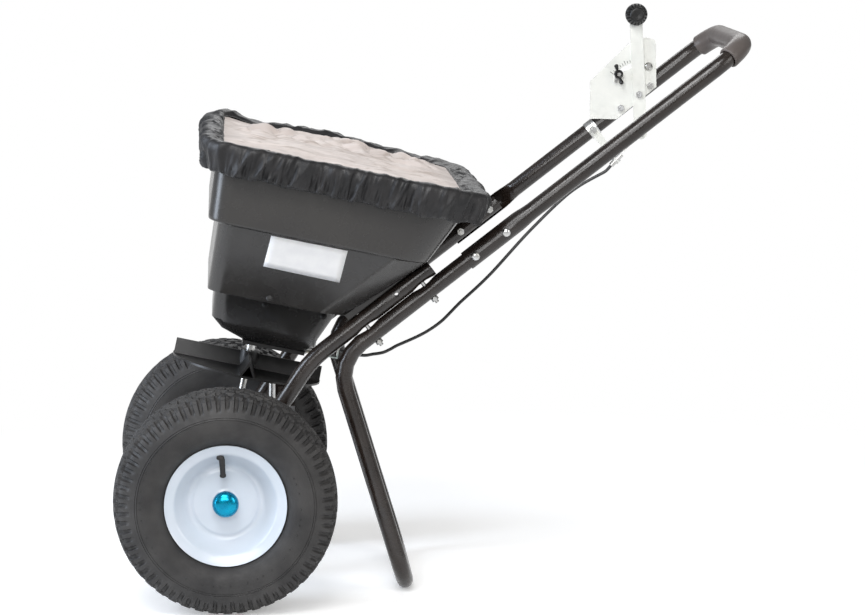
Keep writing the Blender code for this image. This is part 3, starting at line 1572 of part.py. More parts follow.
def build_cover():
    seat = RIM_H + 2.0 * CLEAR
    fold = COVER_FOLD / RIM_HALF
    outer = [
        cover_ring(COVER_TOP + 0.0010, -LIP, 0.86),
        cover_ring(COVER_TOP + 0.0045, -LIP, 0.945, fold),
        cover_ring(COVER_TOP + 0.0070, 0.0060, 1.0, -fold),
        cover_ring(COVER_TOP - 0.05 * COVER_DROP, 0.0150, 1.0, fold),
        cover_ring(COVER_TOP - 0.39 * COVER_DROP, 0.0165, 1.0, -fold),
        cover_ring(COVER_TOP - 0.73 * COVER_DROP, 0.0125, 1.0, fold),
        cover_ring(COVER_HEM, 0.0125, 1.0, 0.4 * fold),
    ]
    inner = [
        cover_ring(COVER_HEM, 0.0125 - CLOTH, 1.0, 0.4 * fold),
        cover_ring(COVER_TOP - 0.73 * COVER_DROP, 0.0125 - CLOTH, 1.0, fold),
        cover_ring(COVER_TOP - 0.39 * COVER_DROP, 0.0165 - CLOTH, 1.0, -fold),
        cover_ring(seat + 0.0010, 0.0150 - CLOTH * 2.0, 1.0, fold),
        cover_ring(seat, 0.0010, 1.0),
        cover_ring(seat, -LIP, 0.985),
        cover_ring(COVER_TOP + 0.0010 - CLOTH, -LIP, 0.93),
        cover_ring(COVER_TOP + 0.0010 - CLOTH, -LIP, 0.86),
    ]
    rings = outer + inner
    mesh = loft_mesh("rain_cover", [*rings, rings[0]], cap_start=False, cap_end=False)
    weld(mesh)
    smooth(add("rain_cover", mesh, COVER_CLOTH, TILTED), 60.0)
    build_cover_window()


def build_cover_window():
    top = COVER_TOP + 0.0010 - CLOTH - CLEAR
    rings = [
        cover_ring(top - 0.0010, -LIP, 0.6200),
        cover_ring(top, -LIP, 0.8800),
        cover_ring(top - 0.0012, -LIP, 0.8800),
        cover_ring(top - 0.0022, -LIP, 0.6200),
    ]
    mesh = loft_mesh("cover_window", rings)
    smooth(add("cover_window", mesh, WINDOW_VINYL, TILTED), 60.0)


# Control: gauge plate, lever, stops and the cable's clamp on the far side of the handle

def spot(radius, angle):
    return (radius * math.cos(angle), radius * math.sin(angle))


def handle_hole(u, radius):
    """A hole in a flat control piece where a bolt crosses the handle line."""
    x, z = on_handle(u)
    return circle((x - PIVOT_X, z - PIVOT_Z), radius, 10)


def build_gauge_plate():
    bolt_hole = BOLT_R + BOLT_CLEAR
    holes = [handle_hole(u, bolt_hole) for u in (*PLATE_BOLT_U, PIVOT_U)]
    holes.append(circle(spot(STOP_R, CLOSED_ANGLE), bolt_hole, 10))
    holes.append(curved_slot(STOP_R, *SLOT_ENDS, bolt_hole))
    mesh = plate_mesh("gauge_plate", filleted(GAUGE_OUTLINE), PLATE_T, holes)
    add("gauge_plate", mesh, ZINC, PIVOT, (0.0, PLATE_Y, 0.0), FLAT)


def build_cross_bolt(name, u, front, head_r=BOLT_R * 1.9):
    """A bolt through the far tube with its nut on the control's side."""
    back = FRAME_HALF_Y + TUBE_R + CLEAR
    mesh = bolt_mesh(name, BOLT_R, head_r, HEAD_T, back - front + CLEAR, 0.0025)
    smooth(add(name, mesh, ZINC, HANDLE, (u, back, 0.0), along_y(1.0)))


def build_control_bolts():
    plate_front = PLATE_Y - PLATE_T / 2.0
    build_cross_bolt("gauge_bolt_lower", PLATE_BOLT_U[0], plate_front)
    build_cross_bolt("gauge_bolt_upper", PLATE_BOLT_U[1], plate_front)
    build_cross_bolt("pivot_bolt", PIVOT_U, LEVER_Y - LEVER_T / 2.0)
    build_cross_bolt("clamp_bolt", CLAMP_U, STRIP_Y - STRIP_T / 2.0)


def build_closed_stop():
    """A bolt whose thick head stops the lever where the gate is shut."""
    face = PLATE_Y - PLATE_T / 2.0 - CLEAR
    mesh = bolt_mesh(
        "closed_stop", BOLT_R, STOP_HEAD_R, STOP_T, PLATE_T + 2.0 * CLEAR, 0.0012, sides=12
    )
    x, z = spot(STOP_R, CLOSED_ANGLE)
    smooth(add("closed_stop", mesh, ZINC, PIVOT, (x, face, z), along_y(-1.0)))


def build_lever():
    top = spot(LEVER_UP, LEVER_AXIS)
    bottom = spot(LEVER_DOWN, LEVER_AXIS + math.pi)
    hole = BOLT_R + BOLT_CLEAR
    holes = [circle(p, hole, 10) for p in ((0.0, 0.0), bottom)]
    mesh = plate_mesh("lever", capsule(bottom, top, LEVER_HALF_W), LEVER_T, holes)
    add("lever", mesh, ZINC, PIVOT, (0.0, LEVER_Y, 0.0), FLAT)


def build_knob():
    """A turned knob with eight flutes pressed into its side."""
    profile = [
        (0.0, KNOB_H),
        (KNOB_R * 0.62, KNOB_H),
        (KNOB_R * 0.92, KNOB_H - 0.0025),
        (KNOB_R, KNOB_H - 0.0060),
        (KNOB_R * 0.97, 0.0060),
        (KNOB_R * 0.70, 0.0035),
        (KNOB_R * 0.55, 0.0),
        (0.0, 0.0),
    ]
    mesh = turned_mesh("knob", profile, 24, False)
    for vert in mesh.vertices:
        radius = math.hypot(vert.co.x, vert.co.y)
        index = round(math.atan2(vert.co.y, vert.co.x) / (math.pi / 12.0))
        if index % 3 == 0 and radius > KNOB_R * 0.9:
            vert.co.x *= 0.88
            vert.co.y *= 0.88
    x, z = spot(LEVER_UP, LEVER_AXIS)
    face = LEVER_Y - LEVER_T / 2.0 - CLEAR
    smooth(add("knob", mesh, BLACK_PLASTIC, PIVOT, (x, face, z), along_y(-1.0)), 50.0)


def build_stop():
    """The adjustable stop: a bolt up through the slot with a collar and its pointer."""
    x, z = spot(STOP_R, STOP_ANGLE)
    back = PLATE_Y + PLATE_T / 2.0 + CLEAR
    front = PLATE_Y - PLATE_T / 2.0 - CLEAR
    grip = back - front + STOP_T + WING_H + 0.0030
    mesh = bolt_mesh("stop_bolt", BOLT_R, BOLT_R * 1.8, 0.0022, grip, 0.0, sides=12, nut=False)
    bolt = add("stop_bolt", mesh, ZINC, PIVOT, (x, back, z), along_y(1.0))
    away = STOP_ANGLE + math.radians(115.0)
    outline = arc((0.0, 0.0), STOP_HEAD_R, away + 0.7, away - 0.7 + 2.0 * math.pi, 12)
    tail = spot(STOP_HEAD_R * 2.1, away)
    side = spot(0.0016, away + math.pi / 2.0)
    outline += [(tail[0] - side[0], tail[1] - side[1]), (tail[0] + side[0], tail[1] + side[1])]
    collar = plate_mesh("stop_collar", outline, STOP_T)
    join(bolt, add("stop_collar", collar, None, PIVOT, (x, front - STOP_T / 2.0, z), FLAT))
    smooth(bolt)


def build_wing_nut():
    """Wing nut clear in front of the lever, so that the lever passes under its wings."""
    x, z = spot(STOP_R, STOP_ANGLE)
    base = PLATE_Y - PLATE_T / 2.0 - 2.0 * CLEAR - STOP_T
    barrel_r = BOLT_R * 1.75
    bore = BOLT_R + CLEAR
    profile = [
        (barrel_r, WING_H * 0.62),
        (barrel_r * 1.1, 0.0),
        (bore, 0.0),
        (bore, WING_H * 0.62),
    ]
    nut = add(
        "wing_nut", turned_mesh("wing_nut", profile, 12, True), BLACK_PLASTIC, PIVOT, (x, base, z),
        along_y(-1.0),
    )
    for i, sign in enumerate((-1.0, 1.0)):
        outline = filleted(
            [
                (sign * (barrel_r - 0.0012), 0.0008, 0.0001),
                (sign * WING_R * 0.85, 0.0030, 0.0015),
                (sign * WING_R, WING_H, 0.0020),
                (sign * WING_R * 0.62, WING_H, 0.0020),
                (sign * (barrel_r - 0.0012), WING_H * 0.5, 0.0001),
            ],
            2,
        )
        mesh = plate_mesh(f"wing_{i}", outline, 0.0026)
        join(nut, add(f"wing_{i}", mesh, None, nut, rotation=FLAT))
    nut.rotation_euler = (math.pi / 2.0, 0.0, 0.0)


# Cable: clamp, strip and adjuster on the handle, inner wire and sheath

def lever_foot():
    """World x, z of the cable hole in the lever's lower end."""
    x, z = spot(LEVER_DOWN, LEVER_AXIS + math.pi)
    return PIVOT_X + x, PIVOT_Z + z


def adjuster_place():
    return on_handle(CLAMP_U, -ADJUSTER_DROP)


def core_angle():
    """Direction of the inner wire from the adjuster up to the lever's foot."""
    foot = lever_foot()
    place = adjuster_place()
    return math.atan2(foot[1] - place[1], foot[0] - place[0])


def build_saddle_clamp():
    bore = TUBE_R + CLEAR
    wrap = math.radians(80.0)
    outer = arc((0.0, 0.0), bore + CLAMP_WALL, math.pi - wrap, math.pi + wrap, 8)
    inner = arc((0.0, 0.0), bore / math.cos(wrap / 8.0), math.pi + wrap, math.pi - wrap, 8)
    mesh = plate_mesh("saddle_clamp", outer + inner, CLAMP_W)
    turn = (math.pi / 2.0, 0.0, math.pi / 2.0)
    clamp = add("saddle_clamp", mesh, ZINC, HANDLE, (CLAMP_U, FRAME_HALF_Y, 0.0), turn)
    radius = BOLT_R + BOLT_CLEAR
    cut(clamp, handle_drill("clamp_hole", CLAMP_U, 0.0, FRAME_HALF_Y, radius, DRILL_L, "y"))


def build_cable_strip():
    """Flat strip square to the handle, with a tab at its end that holds the adjuster."""
    outline = capsule((CLAMP_U, -ADJUSTER_DROP), (CLAMP_U, 0.0), STRIP_HALF_W)
    hole = circle((CLAMP_U, 0.0), BOLT_R + BOLT_CLEAR, 10)
    mesh = plate_mesh("cable_strip", outline, STRIP_T, [hole])
    strip = add("cable_strip", mesh, ZINC, HANDLE, (0.0, STRIP_Y, 0.0), FLAT)
    x, z = adjuster_place()
    reach = STRIP_Y + STRIP_T / 2.0 - (CORE_Y - ADJUSTER_R - 0.0035)
    tab = box_mesh("strip_tab", (STRIP_T, reach, 2.0 * STRIP_HALF_W))
    middle = STRIP_Y + STRIP_T / 2.0 - reach / 2.0
    turn = (0.0, -core_angle(), 0.0)
    join(strip, add("strip_tab", tab, None, ORIGIN, (x, middle, z), turn))
    bore = cylinder_mesh("adjuster_hole", ADJUSTER_R + CLEAR, 0.0080, 12)
    turn = (0.0, math.pi / 2.0 - core_angle(), 0.0)
    cut(strip, add("adjuster_hole", bore, None, ORIGIN, (x, CORE_Y, z), turn))


def build_cable_adjuster():
    """Hollow threaded barrel with a nut on each side of the strip's tab."""
    half = ADJUSTER_L / 2.0
    nut_r = ADJUSTER_R + 0.0018
    gap = STRIP_T / 2.0 + CLEAR
    profile = [
        (ADJUSTER_R, half),
        (ADJUSTER_R, gap + 0.0030),
        (nut_r, gap + 0.0030),
        (nut_r, gap),
        (ADJUSTER_R, gap),
        (ADJUSTER_R, -gap),
        (nut_r, -gap),
        (nut_r, -gap - 0.0030),
        (ADJUSTER_R, -gap - 0.0030),
        (ADJUSTER_R, -half),
        (ADJUSTER_BORE_R, -half),
        (ADJUSTER_BORE_R, half),
    ]
    x, z = adjuster_place()
    mesh = turned_mesh("cable_adjuster", profile, 12, True)
    turn = (0.0, math.pi / 2.0 - core_angle(), 0.0)
    smooth(add("cable_adjuster", mesh, ZINC, ORIGIN, (x, CORE_Y, z), turn))


def build_core_wire():
    """The inner wire's upper end: a cross barrel pinned in the lever, and the wire below it.

    The wire leans a little in the adjuster at rest, and stays clear of it over the whole swing.
    """
    foot = lever_foot()
    place = adjuster_place()
    run = math.hypot(foot[0] - place[0], foot[1] - place[1]) + ADJUSTER_L / 2.0 - CLEAR
    barrel_r = 0.0040
    front = CORE_Y - 0.0030
    shoulder = LEVER_Y - LEVER_T / 2.0 - CLEAR
    back = LEVER_Y + LEVER_T / 2.0 + 0.0010
    profile = [
        (0.0, -front),
        (barrel_r, -front),
        (barrel_r, -shoulder),
        (BOLT_R, -shoulder),
        (BOLT_R, -back),
        (0.0, -back),
    ]
    barrel = turned_mesh("core_wire", profile, 12, False)
    wire_piece = add("core_wire", barrel, ZINC, ORIGIN, (foot[0], 0.0, foot[1]), along_y(-1.0))
    wire = cylinder_mesh("core", CORE_R, run, 8)
    angle = core_angle() - CORE_LEAN
    half = run / 2.0
    middle = (foot[0] - math.cos(angle) * half, CORE_Y, foot[1] - math.sin(angle) * half)
    turn = (0.0, math.pi / 2.0 - angle, 0.0)
    join(wire_piece, add("core", wire, None, ORIGIN, middle, turn))


def in_world(x, height):
    """World point, before the origin's shift, of x and height in the tilted frame."""
    cos = math.cos(TILT)
    sin = math.sin(TILT)
    return Vector((x * cos + height * sin, 0.0, TYRE_R + height * cos - x * sin))


def build_cable_sheath():
    end = ANCHOR_X + ANCHOR_T + CLEAR
    straight = end + SHEATH_BORE_L + 0.0060
    rear = [in_world(straight, WIRE_H), in_world(end, WIRE_H)]
    angle = core_angle()
    x, z = adjuster_place()
    reach = ADJUSTER_L / 2.0 + CLEAR
    top = [
        Vector((x - math.cos(angle) * d, CORE_Y, z - math.sin(angle) * d))
        for d in (reach, reach + 0.0120)
    ]
    way = Vector((rear[0].x - top[1].x, 0.0, rear[0].z - top[1].z))
    rise = Vector((-way.z, 0.0, way.x)).normalized()
    route = []
    for share, height, side in SHEATH_ROUTE:
        place = top[1] + way * share + rise * height
        route.append(Vector((place.x, CORE_Y * side, place.z)))
    curve = smooth_route([*top, *route, rear[0]], SHEATH_STEP)
    mesh = tube_mesh("cable_sheath", [*curve, rear[1]], SHEATH_R, 2)
    sheath = add("cable_sheath", mesh, CABLE_BLACK)
    bore = cylinder_mesh("sheath_bore", SHEATH_BORE_R, 2.0 * SHEATH_BORE_L, 8)
    turn = (0.0, math.pi / 2.0, 0.0)
    cut(sheath, add("sheath_bore", bore, None, TILTED, (end, 0.0, WIRE_H), turn))
    smooth(sheath)


def build_all():
    build_wheels()
    build_axle()
    build_axle_bushes()
    build_spacers()
    build_pinion()
    build_face_gear()
    build_gear_case()
    build_case_stud()
    build_cross_brace()
    build_frame_tubes()
    build_leg_stand()
    build_handle()
    build_grip()
    build_stack_bolts()
    build_joint_bolts()
    build_hopper()
    build_shaft_bush()
    build_gate_guide()
    build_gate_plate()
    build_gate_wire()
    build_cable_anchor()
    build_impeller_shaft()
    build_agitator()
    build_impeller()
    build_shaft_collar()
    build_cover()
    build_gauge_plate()
    build_control_bolts()
    build_closed_stop()
    build_lever()
    build_knob()
    build_stop()
    build_wing_nut()
    build_saddle_clamp()
    build_cable_strip()
    build_cable_adjuster()
    build_core_wire()
    build_cable_sheath()


build_all()
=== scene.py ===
"""The looks of the walk-behind broadcast spreader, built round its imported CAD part.

Metres, in the part's own frame: the handle points along +X, the axle lies along Y.
"""

import math

import bmesh
import bpy
from mathutils import Matrix, Vector, noise


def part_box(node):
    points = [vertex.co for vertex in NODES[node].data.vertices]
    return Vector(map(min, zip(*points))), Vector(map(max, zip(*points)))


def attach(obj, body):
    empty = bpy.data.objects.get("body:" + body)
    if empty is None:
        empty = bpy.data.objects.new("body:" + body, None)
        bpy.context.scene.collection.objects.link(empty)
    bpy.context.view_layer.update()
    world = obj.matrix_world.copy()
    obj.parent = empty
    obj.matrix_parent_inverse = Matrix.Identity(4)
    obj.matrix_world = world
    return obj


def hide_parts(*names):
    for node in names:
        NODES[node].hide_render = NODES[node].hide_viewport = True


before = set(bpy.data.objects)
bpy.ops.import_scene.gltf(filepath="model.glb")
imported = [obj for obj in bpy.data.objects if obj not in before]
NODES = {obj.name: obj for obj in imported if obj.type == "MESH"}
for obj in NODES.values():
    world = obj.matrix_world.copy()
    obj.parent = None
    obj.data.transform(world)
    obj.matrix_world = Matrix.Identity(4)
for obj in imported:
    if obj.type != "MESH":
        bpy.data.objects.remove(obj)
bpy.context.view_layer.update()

# Places and sizes of the part that the looks are built on

# Wheels, tubes and their lines
SHIFT_X = -0.3139719
TYRE_R = 0.165
TRACK = 0.500
TILT = math.radians(12.0)
HANDLE_ANGLE = math.radians(37.6)
HANDLE_FOOT_Z = 0.2267
TUBE_R = 0.0127
CLEAR = 0.0003
STACK_W = 2.0 * TUBE_R + CLEAR
FRAME_HALF_Y = 0.160

# Hopper and cover, in the tilted frame above the axle
WALL = 0.0035
FLOOR_H = 0.2120
FLOOR_FRONT = -0.0160
FLOOR_REAR = 0.0800
FLOOR_HALF = 0.0620
RIM_H = 0.4995
RIM_FRONT = -0.1145
RIM_REAR = 0.2685
RIM_HALF = 0.2500
RIM_FRONT_CORNER = 0.030
RIM_REAR_CORNER = (0.060, 0.050)
RIM_MIDDLE = (RIM_FRONT + RIM_REAR) / 2.0
LIP = 0.0095
BAND_FOOT = 0.4010
COVER_TOP = 0.5080

# Control and grip, along the handle
PIVOT_U = 0.8268
LEVER_Y = 0.1425
LEVER_T = 0.0030
LEVER_LEAN = math.radians(2.8)
LEVER_UP = 0.1255
STOP_R = 0.0460
STOP_ANGLE = math.radians(136.2)
PLATE_Y = 0.14575
PLATE_T = 0.0025
STOP_T = 0.0046
BOLT_R = 0.0030
HANDLE_TOP_U = 0.980
HANDLE_BEND_R = 0.055
GRIP_START_U = 0.9455
GRIP_R = 0.0165

AXLE = Vector((SHIFT_X, 0.0, TYRE_R))
TILTED = Matrix.Translation(AXLE) @ Matrix.Rotation(TILT, 4, "Y")
HANDLE = Matrix.Translation((SHIFT_X, 0.0, HANDLE_FOOT_Z)) @ Matrix.Rotation(-HANDLE_ANGLE, 4, "Y")
PIVOT = HANDLE @ Vector((PIVOT_U, 0.0, 0.0))
SIDES = (("near", -1.0), ("far", 1.0))
ACROSS = Vector((0.0, 1.0, 0.0))


# Helpers for objects and nodes

def new_object(name, data):
    obj = bpy.data.objects.new(name, data)
    bpy.context.scene.collection.objects.link(obj)
    return obj


def feed(node, values):
    """Links each socket to its input, and sets each constant as its input's value."""
    for key, value in values.items():
        if isinstance(value, bpy.types.NodeSocket):
            node.id_data.links.new(value, node.inputs[key])
        else:
            node.inputs[key].default_value = value


def add_node(tree, kind, values, **settings):
    node = tree.nodes.new(kind)
    for key, value in settings.items():
        setattr(node, key, value)
    feed(node, values)
    return node


# Camera, at the photograph's own angle

def make_camera():
    data = bpy.data.cameras.new("camera")
    data.sensor_width = 36.0
    data.lens = 143.09
    data.clip_start = 0.1
    data.clip_end = 60.0
    camera = new_object("camera", data)
    camera.location = (-0.31492, -5.23476, 1.13289)
    camera.rotation_euler = (math.radians(82.198), 0.0, math.radians(-3.515))
    bpy.context.scene.camera = camera


make_camera()


# Materials

class Look:
    """A material being built: its node tree and its shader."""

    def __init__(self, name, colour, rough, metallic=0.0, coat=0.0, specular=0.5):
        self.material = bpy.data.materials.new(name)
        self.material.use_nodes = True
        self.tree = self.material.node_tree
        self.shader = self.tree.nodes["Principled BSDF"]
        feed(self.shader, {
            "Base Color": (*colour, 1.0), "Roughness": rough, "Metallic": metallic,
            "Coat Weight": coat, "Coat Roughness": 0.15, "Specular IOR Level": specular,
        })

    def node(self, kind, values, **settings):
        return add_node(self.tree, kind, values, **settings)

    def place(self):
        """The object's own coordinates."""
        return self.node("ShaderNodeTexCoord", {}).outputs["Object"]

    def noise(self, scale, detail=3.0, stretch=(1.0, 1.0, 1.0)):
        """A noise with values from 0 to 1."""
        turn = self.node("ShaderNodeMapping", {"Scale": stretch, "Vector": self.place()})
        values = {"Scale": scale, "Detail": detail, "Vector": turn.outputs["Vector"]}
        return self.node("ShaderNodeTexNoise", values).outputs["Fac"]

    def math(self, operation, *values):
        numbered = dict(enumerate(values))
        return self.node("ShaderNodeMath", numbered, operation=operation).outputs["Value"]

    def spread(self, value, low, high, start=0.35, end=0.65):
        """The value's middle range stretched to run from low to high."""
        values = {"From Min": start, "From Max": end, "To Min": low, "To Max": high, "Value": value}
        return self.node("ShaderNodeMapRange", values).outputs["Result"]

    def mixed(self, value, first, second):
        """A colour that goes from first, a colour or a socket, to second with the value."""
        if not isinstance(first, bpy.types.NodeSocket):
            first = (*first, 1.0)
        values = {"A": first, "B": (*second, 1.0), "Factor": value}
        return self.node("ShaderNodeMix", values, data_type="RGBA").outputs["Result"]

    def colours(self, first, second, scale, detail=3.0):
        """The base colour wanders from first to second."""
        share = self.spread(self.noise(scale, detail), 0.0, 1.0)
        feed(self.shader, {"Base Color": self.mixed(share, first, second)})

    def roughness(self, low, high, scale, detail=3.0):
        value = self.spread(self.noise(scale, detail), low, high)
        feed(self.shader, {"Roughness": value})

    def bumps(self, *layers):
        """Bump layers, each a height socket with its strength and distance."""
        normal = {}
        for height, strength, distance in layers:
            values = {"Strength": strength, "Distance": distance, "Height": height, **normal}
            normal = {"Normal": self.node("ShaderNodeBump", values).outputs["Normal"]}
        feed(self.shader, normal)


def surface(name, colour, rough, tones, gloss, *grains, **shader):
    """A material whose colour and roughness wander with noise, over layers of fine grain."""
    look = Look(name, colour, rough, **shader)
    look.colours(*tones)
    look.roughness(*gloss)
    look.bumps(*((look.noise(scale, detail), *push) for scale, detail, *push in grains))
    return look.material


def powder_coat():
    """Dark brown-black hammered powder coat with glints."""
    look = Look("powder_coat", (0.012, 0.009, 0.008), 0.26, coat=0.16)
    look.colours((0.010, 0.0065, 0.005), (0.020, 0.014, 0.011), 26.0)
    look.roughness(0.20, 0.34, 60.0)
    values = {"Scale": 480.0, "Smoothness": 0.6, "Vector": look.place()}
    cells = look.node("ShaderNodeTexVoronoi", values, feature="SMOOTH_F1").outputs["Distance"]
    look.bumps((cells, 0.24, 0.0007), (look.noise(900.0, 2.0), 0.10, 0.0004))
    return look.material


def bright_zinc(name, tint, tarnish, rough, metallic):
    return surface(name, tint, rough, (tint, tarnish, 45.0, 4.0),
                   (rough - 0.07, rough + 0.12, 120.0), (500.0, 2.0, 0.08, 0.00015),
                   metallic=metallic)


def yellow_zinc():
    """Zinc with the faint pink and green of its passivation."""
    look = Look("passivated_zinc", (0.6, 0.55, 0.45), 0.3, metallic=1.0)
    ramp = look.node("ShaderNodeValToRGB", {"Fac": look.noise(60.0, 2.0)})
    stops = ((0.30, (0.62, 0.52, 0.44)), (0.45, (0.66, 0.62, 0.50)), (0.60, (0.52, 0.60, 0.58)))
    ramp.color_ramp.elements.new(stops[-1][0])
    for mark, (position, colour) in zip(ramp.color_ramp.elements, stops):
        mark.position = position
        mark.color = (*colour, 1.0)
    feed(look.shader, {"Base Color": ramp.outputs["Color"]})
    look.bumps((look.noise(600.0, 2.0), 0.10, 0.0003))
    return look.material


def rubber(name, dark, light, rough, grain=900.0, strength=0.25, vary=0.10):
    return surface(name, dark, rough, (dark, light, 22.0, 5.0),
                   (rough - vary, rough + vary, 80.0), (grain, 3.0, strength, 0.0005),
                   specular=0.30)


def plastic(name, dark, light, rough, grain=(700.0, 3.0, 0.15, 0.0004), *waves, specular=0.36):
    return surface(name, dark, rough, (dark, light, 9.0, 4.0),
                   (rough - 0.03, rough + 0.05, 40.0, 5.0), grain, *waves, specular=specular)


def coated_cloth():
    """Thin black nylon with a fine plain weave and a faint sheen."""
    look = Look("coated_cloth", (0.012, 0.012, 0.013), 0.46, specular=0.38)
    feed(look.shader, {"Sheen Weight": 0.10, "Sheen Roughness": 0.4})
    look.colours((0.007, 0.007, 0.008), (0.020, 0.019, 0.020), 35.0, 4.0)
    look.roughness(0.40, 0.56, 90.0)
    threads = []
    for direction in ("X", "Y"):
        values = {"Scale": 260.0, "Distortion": 0.4, "Vector": look.place()}
        thread = look.node("ShaderNodeTexWave", values, bands_direction=direction)
        threads.append((thread.outputs["Fac"], 0.10, 0.0002))
    look.bumps(*threads, (look.noise(150.0, 4.0), 0.22, 0.0012))
    return look.material


def window_vinyl():
    """Milky pink-grey vinyl, with brown grime in patches and painted shade in brown along its thin
    creases.
    """
    look = Look("window_vinyl", (0.55, 0.48, 0.45), 0.50, specular=0.30)
    tone = look.spread(look.noise(14.0), 0.0, 1.0)
    milky = look.mixed(tone, (0.60, 0.53, 0.495), (0.49, 0.43, 0.400))
    patches = look.spread(look.noise(16.0, 5.0, (0.40, 1.5, 1.0)), 0.0, 0.38, 0.54, 0.72)
    grimy = look.mixed(patches, milky, (0.30, 0.24, 0.20))
    # Thin crease lines darkened towards brown: painted shade along the creases.
    from_middle = look.math("SUBTRACT", look.noise(7.0, 3.0, (0.50, 1.7, 1.0)), 0.5)
    creases = look.spread(look.math("ABSOLUTE", from_middle), 0.45, 0.0, 0.002, 0.016)
    feed(look.shader, {"Base Color": look.mixed(creases, grimy, (0.23, 0.17, 0.13))})
    look.roughness(0.42, 0.60, 50.0)
    look.bumps((look.noise(70.0, 4.0, (0.5, 1.8, 1.0)), 0.30, 0.0020))
    return look.material


def paper_label():
    look = Look("bare_label", (0.90, 0.90, 0.90), 0.50)
    look.colours((0.92, 0.92, 0.92), (0.86, 0.86, 0.87), 60.0, 4.0)
    look.bumps((look.noise(500.0, 2.0), 0.08, 0.0002))
    return look.material


POWDER = powder_coat()
ZINC = bright_zinc("bright_zinc", (0.62, 0.63, 0.64), (0.48, 0.47, 0.44), 0.26, 1.0)
PALE_ZINC = bright_zinc("pale_zinc", (0.84, 0.845, 0.80), (0.78, 0.79, 0.75), 0.36, 0.20)
YELLOW_ZINC = yellow_zinc()
ENAMEL = surface("white_enamel", (0.60, 0.65, 0.72), 0.18,
                 ((0.58, 0.64, 0.71), (0.61, 0.66, 0.73), 18.0), (0.16, 0.27, 70.0),
                 (160.0, 2.0, 0.06, 0.0006), coat=0.4)
TEAL = surface("teal_metal", (0.0, 0.24, 0.40), 0.24,
               ((0.0, 0.22, 0.38), (0.0, 0.30, 0.48), 90.0), (0.20, 0.30, 240.0),
               (500.0, 2.0, 0.06, 0.0003), metallic=1.0, coat=0.25)
TYRE = rubber("tyre_rubber", (0.027, 0.026, 0.026), (0.047, 0.045, 0.044), 0.56, 700.0, 0.55)
RUBBER = rubber("satin_rubber", (0.018, 0.018, 0.018), (0.030, 0.029, 0.028), 0.45, strength=0.12)
GRIP = rubber("grip_foam", (0.105, 0.090, 0.083), (0.130, 0.112, 0.104), 0.38, 150.0, 0.02, 0.02)
HOPPER = plastic("hopper_plastic", (0.026, 0.0245, 0.024), (0.034, 0.032, 0.030), 0.25,
                 (420.0, 3.0, 0.06, 0.0004), (12.0, 1.0, 0.08, 0.0060), specular=0.55)
PLASTIC = plastic("black_plastic", (0.010, 0.010, 0.010), (0.020, 0.019, 0.019), 0.32)
NYLON = plastic("natural_nylon", (0.58, 0.56, 0.50), (0.66, 0.64, 0.58), 0.45)
CABLE = plastic("cable_sheath", (0.036, 0.036, 0.037), (0.054, 0.054, 0.055), 0.38)
CLOTH = coated_cloth()
VINYL = window_vinyl()
LABEL = paper_label()


# Modelling helpers

def from_bmesh(bm, name, degrees=None):
    bmesh.ops.remove_doubles(bm, verts=bm.verts, dist=1e-6)
    bmesh.ops.recalc_face_normals(bm, faces=bm.faces)
    mesh = bpy.data.meshes.new(name)
    bm.to_mesh(mesh)
    bm.free()
    mesh.shade_smooth()
    if degrees is not None:
        mesh.set_sharp_from_angle(angle=math.radians(degrees))
    return mesh


def face_out(mesh, middle):
    """Turns an open shell so that its faces look away from the middle."""
    total = sum((p.center - middle).dot(p.normal) * p.area for p in mesh.polygons)
    if total < 0.0:
        mesh.flip_normals()


def loft(name, rings, around=True, along=False, caps=False, floor=False, degrees=None):
    """A skin through rings of points, closed around them or along them, capped or floored."""
    bm = bmesh.new()
    rows = [[bm.verts.new(p) for p in ring] for ring in rings]
    count = len(rows[0])
    pairs = list(zip(rows, rows[1:]))
    if along:
        pairs.append((rows[-1], rows[0]))
    for low, high in pairs:
        for j in range(count if around else count - 1):
            k = (j + 1) % count
            bm.faces.new((low[j], low[k], high[k], high[j]))
    if caps or floor:
        bm.faces.new(rows[0])
    if caps:
        bm.faces.new(rows[-1])
    return from_bmesh(bm, name, degrees)


def rounded_curve(points, spacing):
    """Points about a spacing apart on a smooth curve through the given ones."""
    places = [Vector(p) for p in points]
    padded = [places[0] * 2 - places[1], *places, places[-1] * 2 - places[-2]]
    result = [places[0]]
    for p0, p1, p2, p3 in zip(padded, padded[1:], padded[2:], padded[3:]):
        count = max(1, round((p2 - p1).length / spacing))
        for k in range(1, count + 1):
            t = k / count
            result.append(
                0.5 * (2 * p1 + (p2 - p0) * t + (2 * p0 - 5 * p1 + 4 * p2 - p3) * t**2
                       + (3 * p1 - p0 - 3 * p2 + p3) * t**3)
            )
    return result


def turns(steps):
    """The angles of even steps round a circle."""
    return [2.0 * math.pi * k / steps for k in range(steps)]


def path_ring(path, i, up, radius, steps, ahead=0.0):
    """A ring square to a path at one of its points, or a little ahead of it."""
    along = (path[min(i + 1, len(path) - 1)] - path[max(i - 1, 0)]).normalized()
    side = along.cross(up).normalized()
    over = side.cross(along)
    middle = path[i] + along * ahead
    return [middle + (over * math.cos(a) + side * math.sin(a)) * radius for a in turns(steps)]


def wheel_point(sign, radius, angle, out):
    """A point of a wheel: its radius and angle, and its distance outwards from the middle."""
    x = AXLE.x + radius * math.cos(angle)
    z = AXLE.z + radius * math.sin(angle)
    return Vector((x, sign * (TRACK / 2.0 + out), z))


def turned_wheel(name, sign, profile, steps, closed=True, degrees=30.0):
    """A piece of a wheel, turned from a profile of radius and distance outwards."""
    rings = [[wheel_point(sign, r, a, out) for r, out in profile] for a in turns(steps)]
    return loft(name, rings, around=closed, along=True, degrees=degrees)


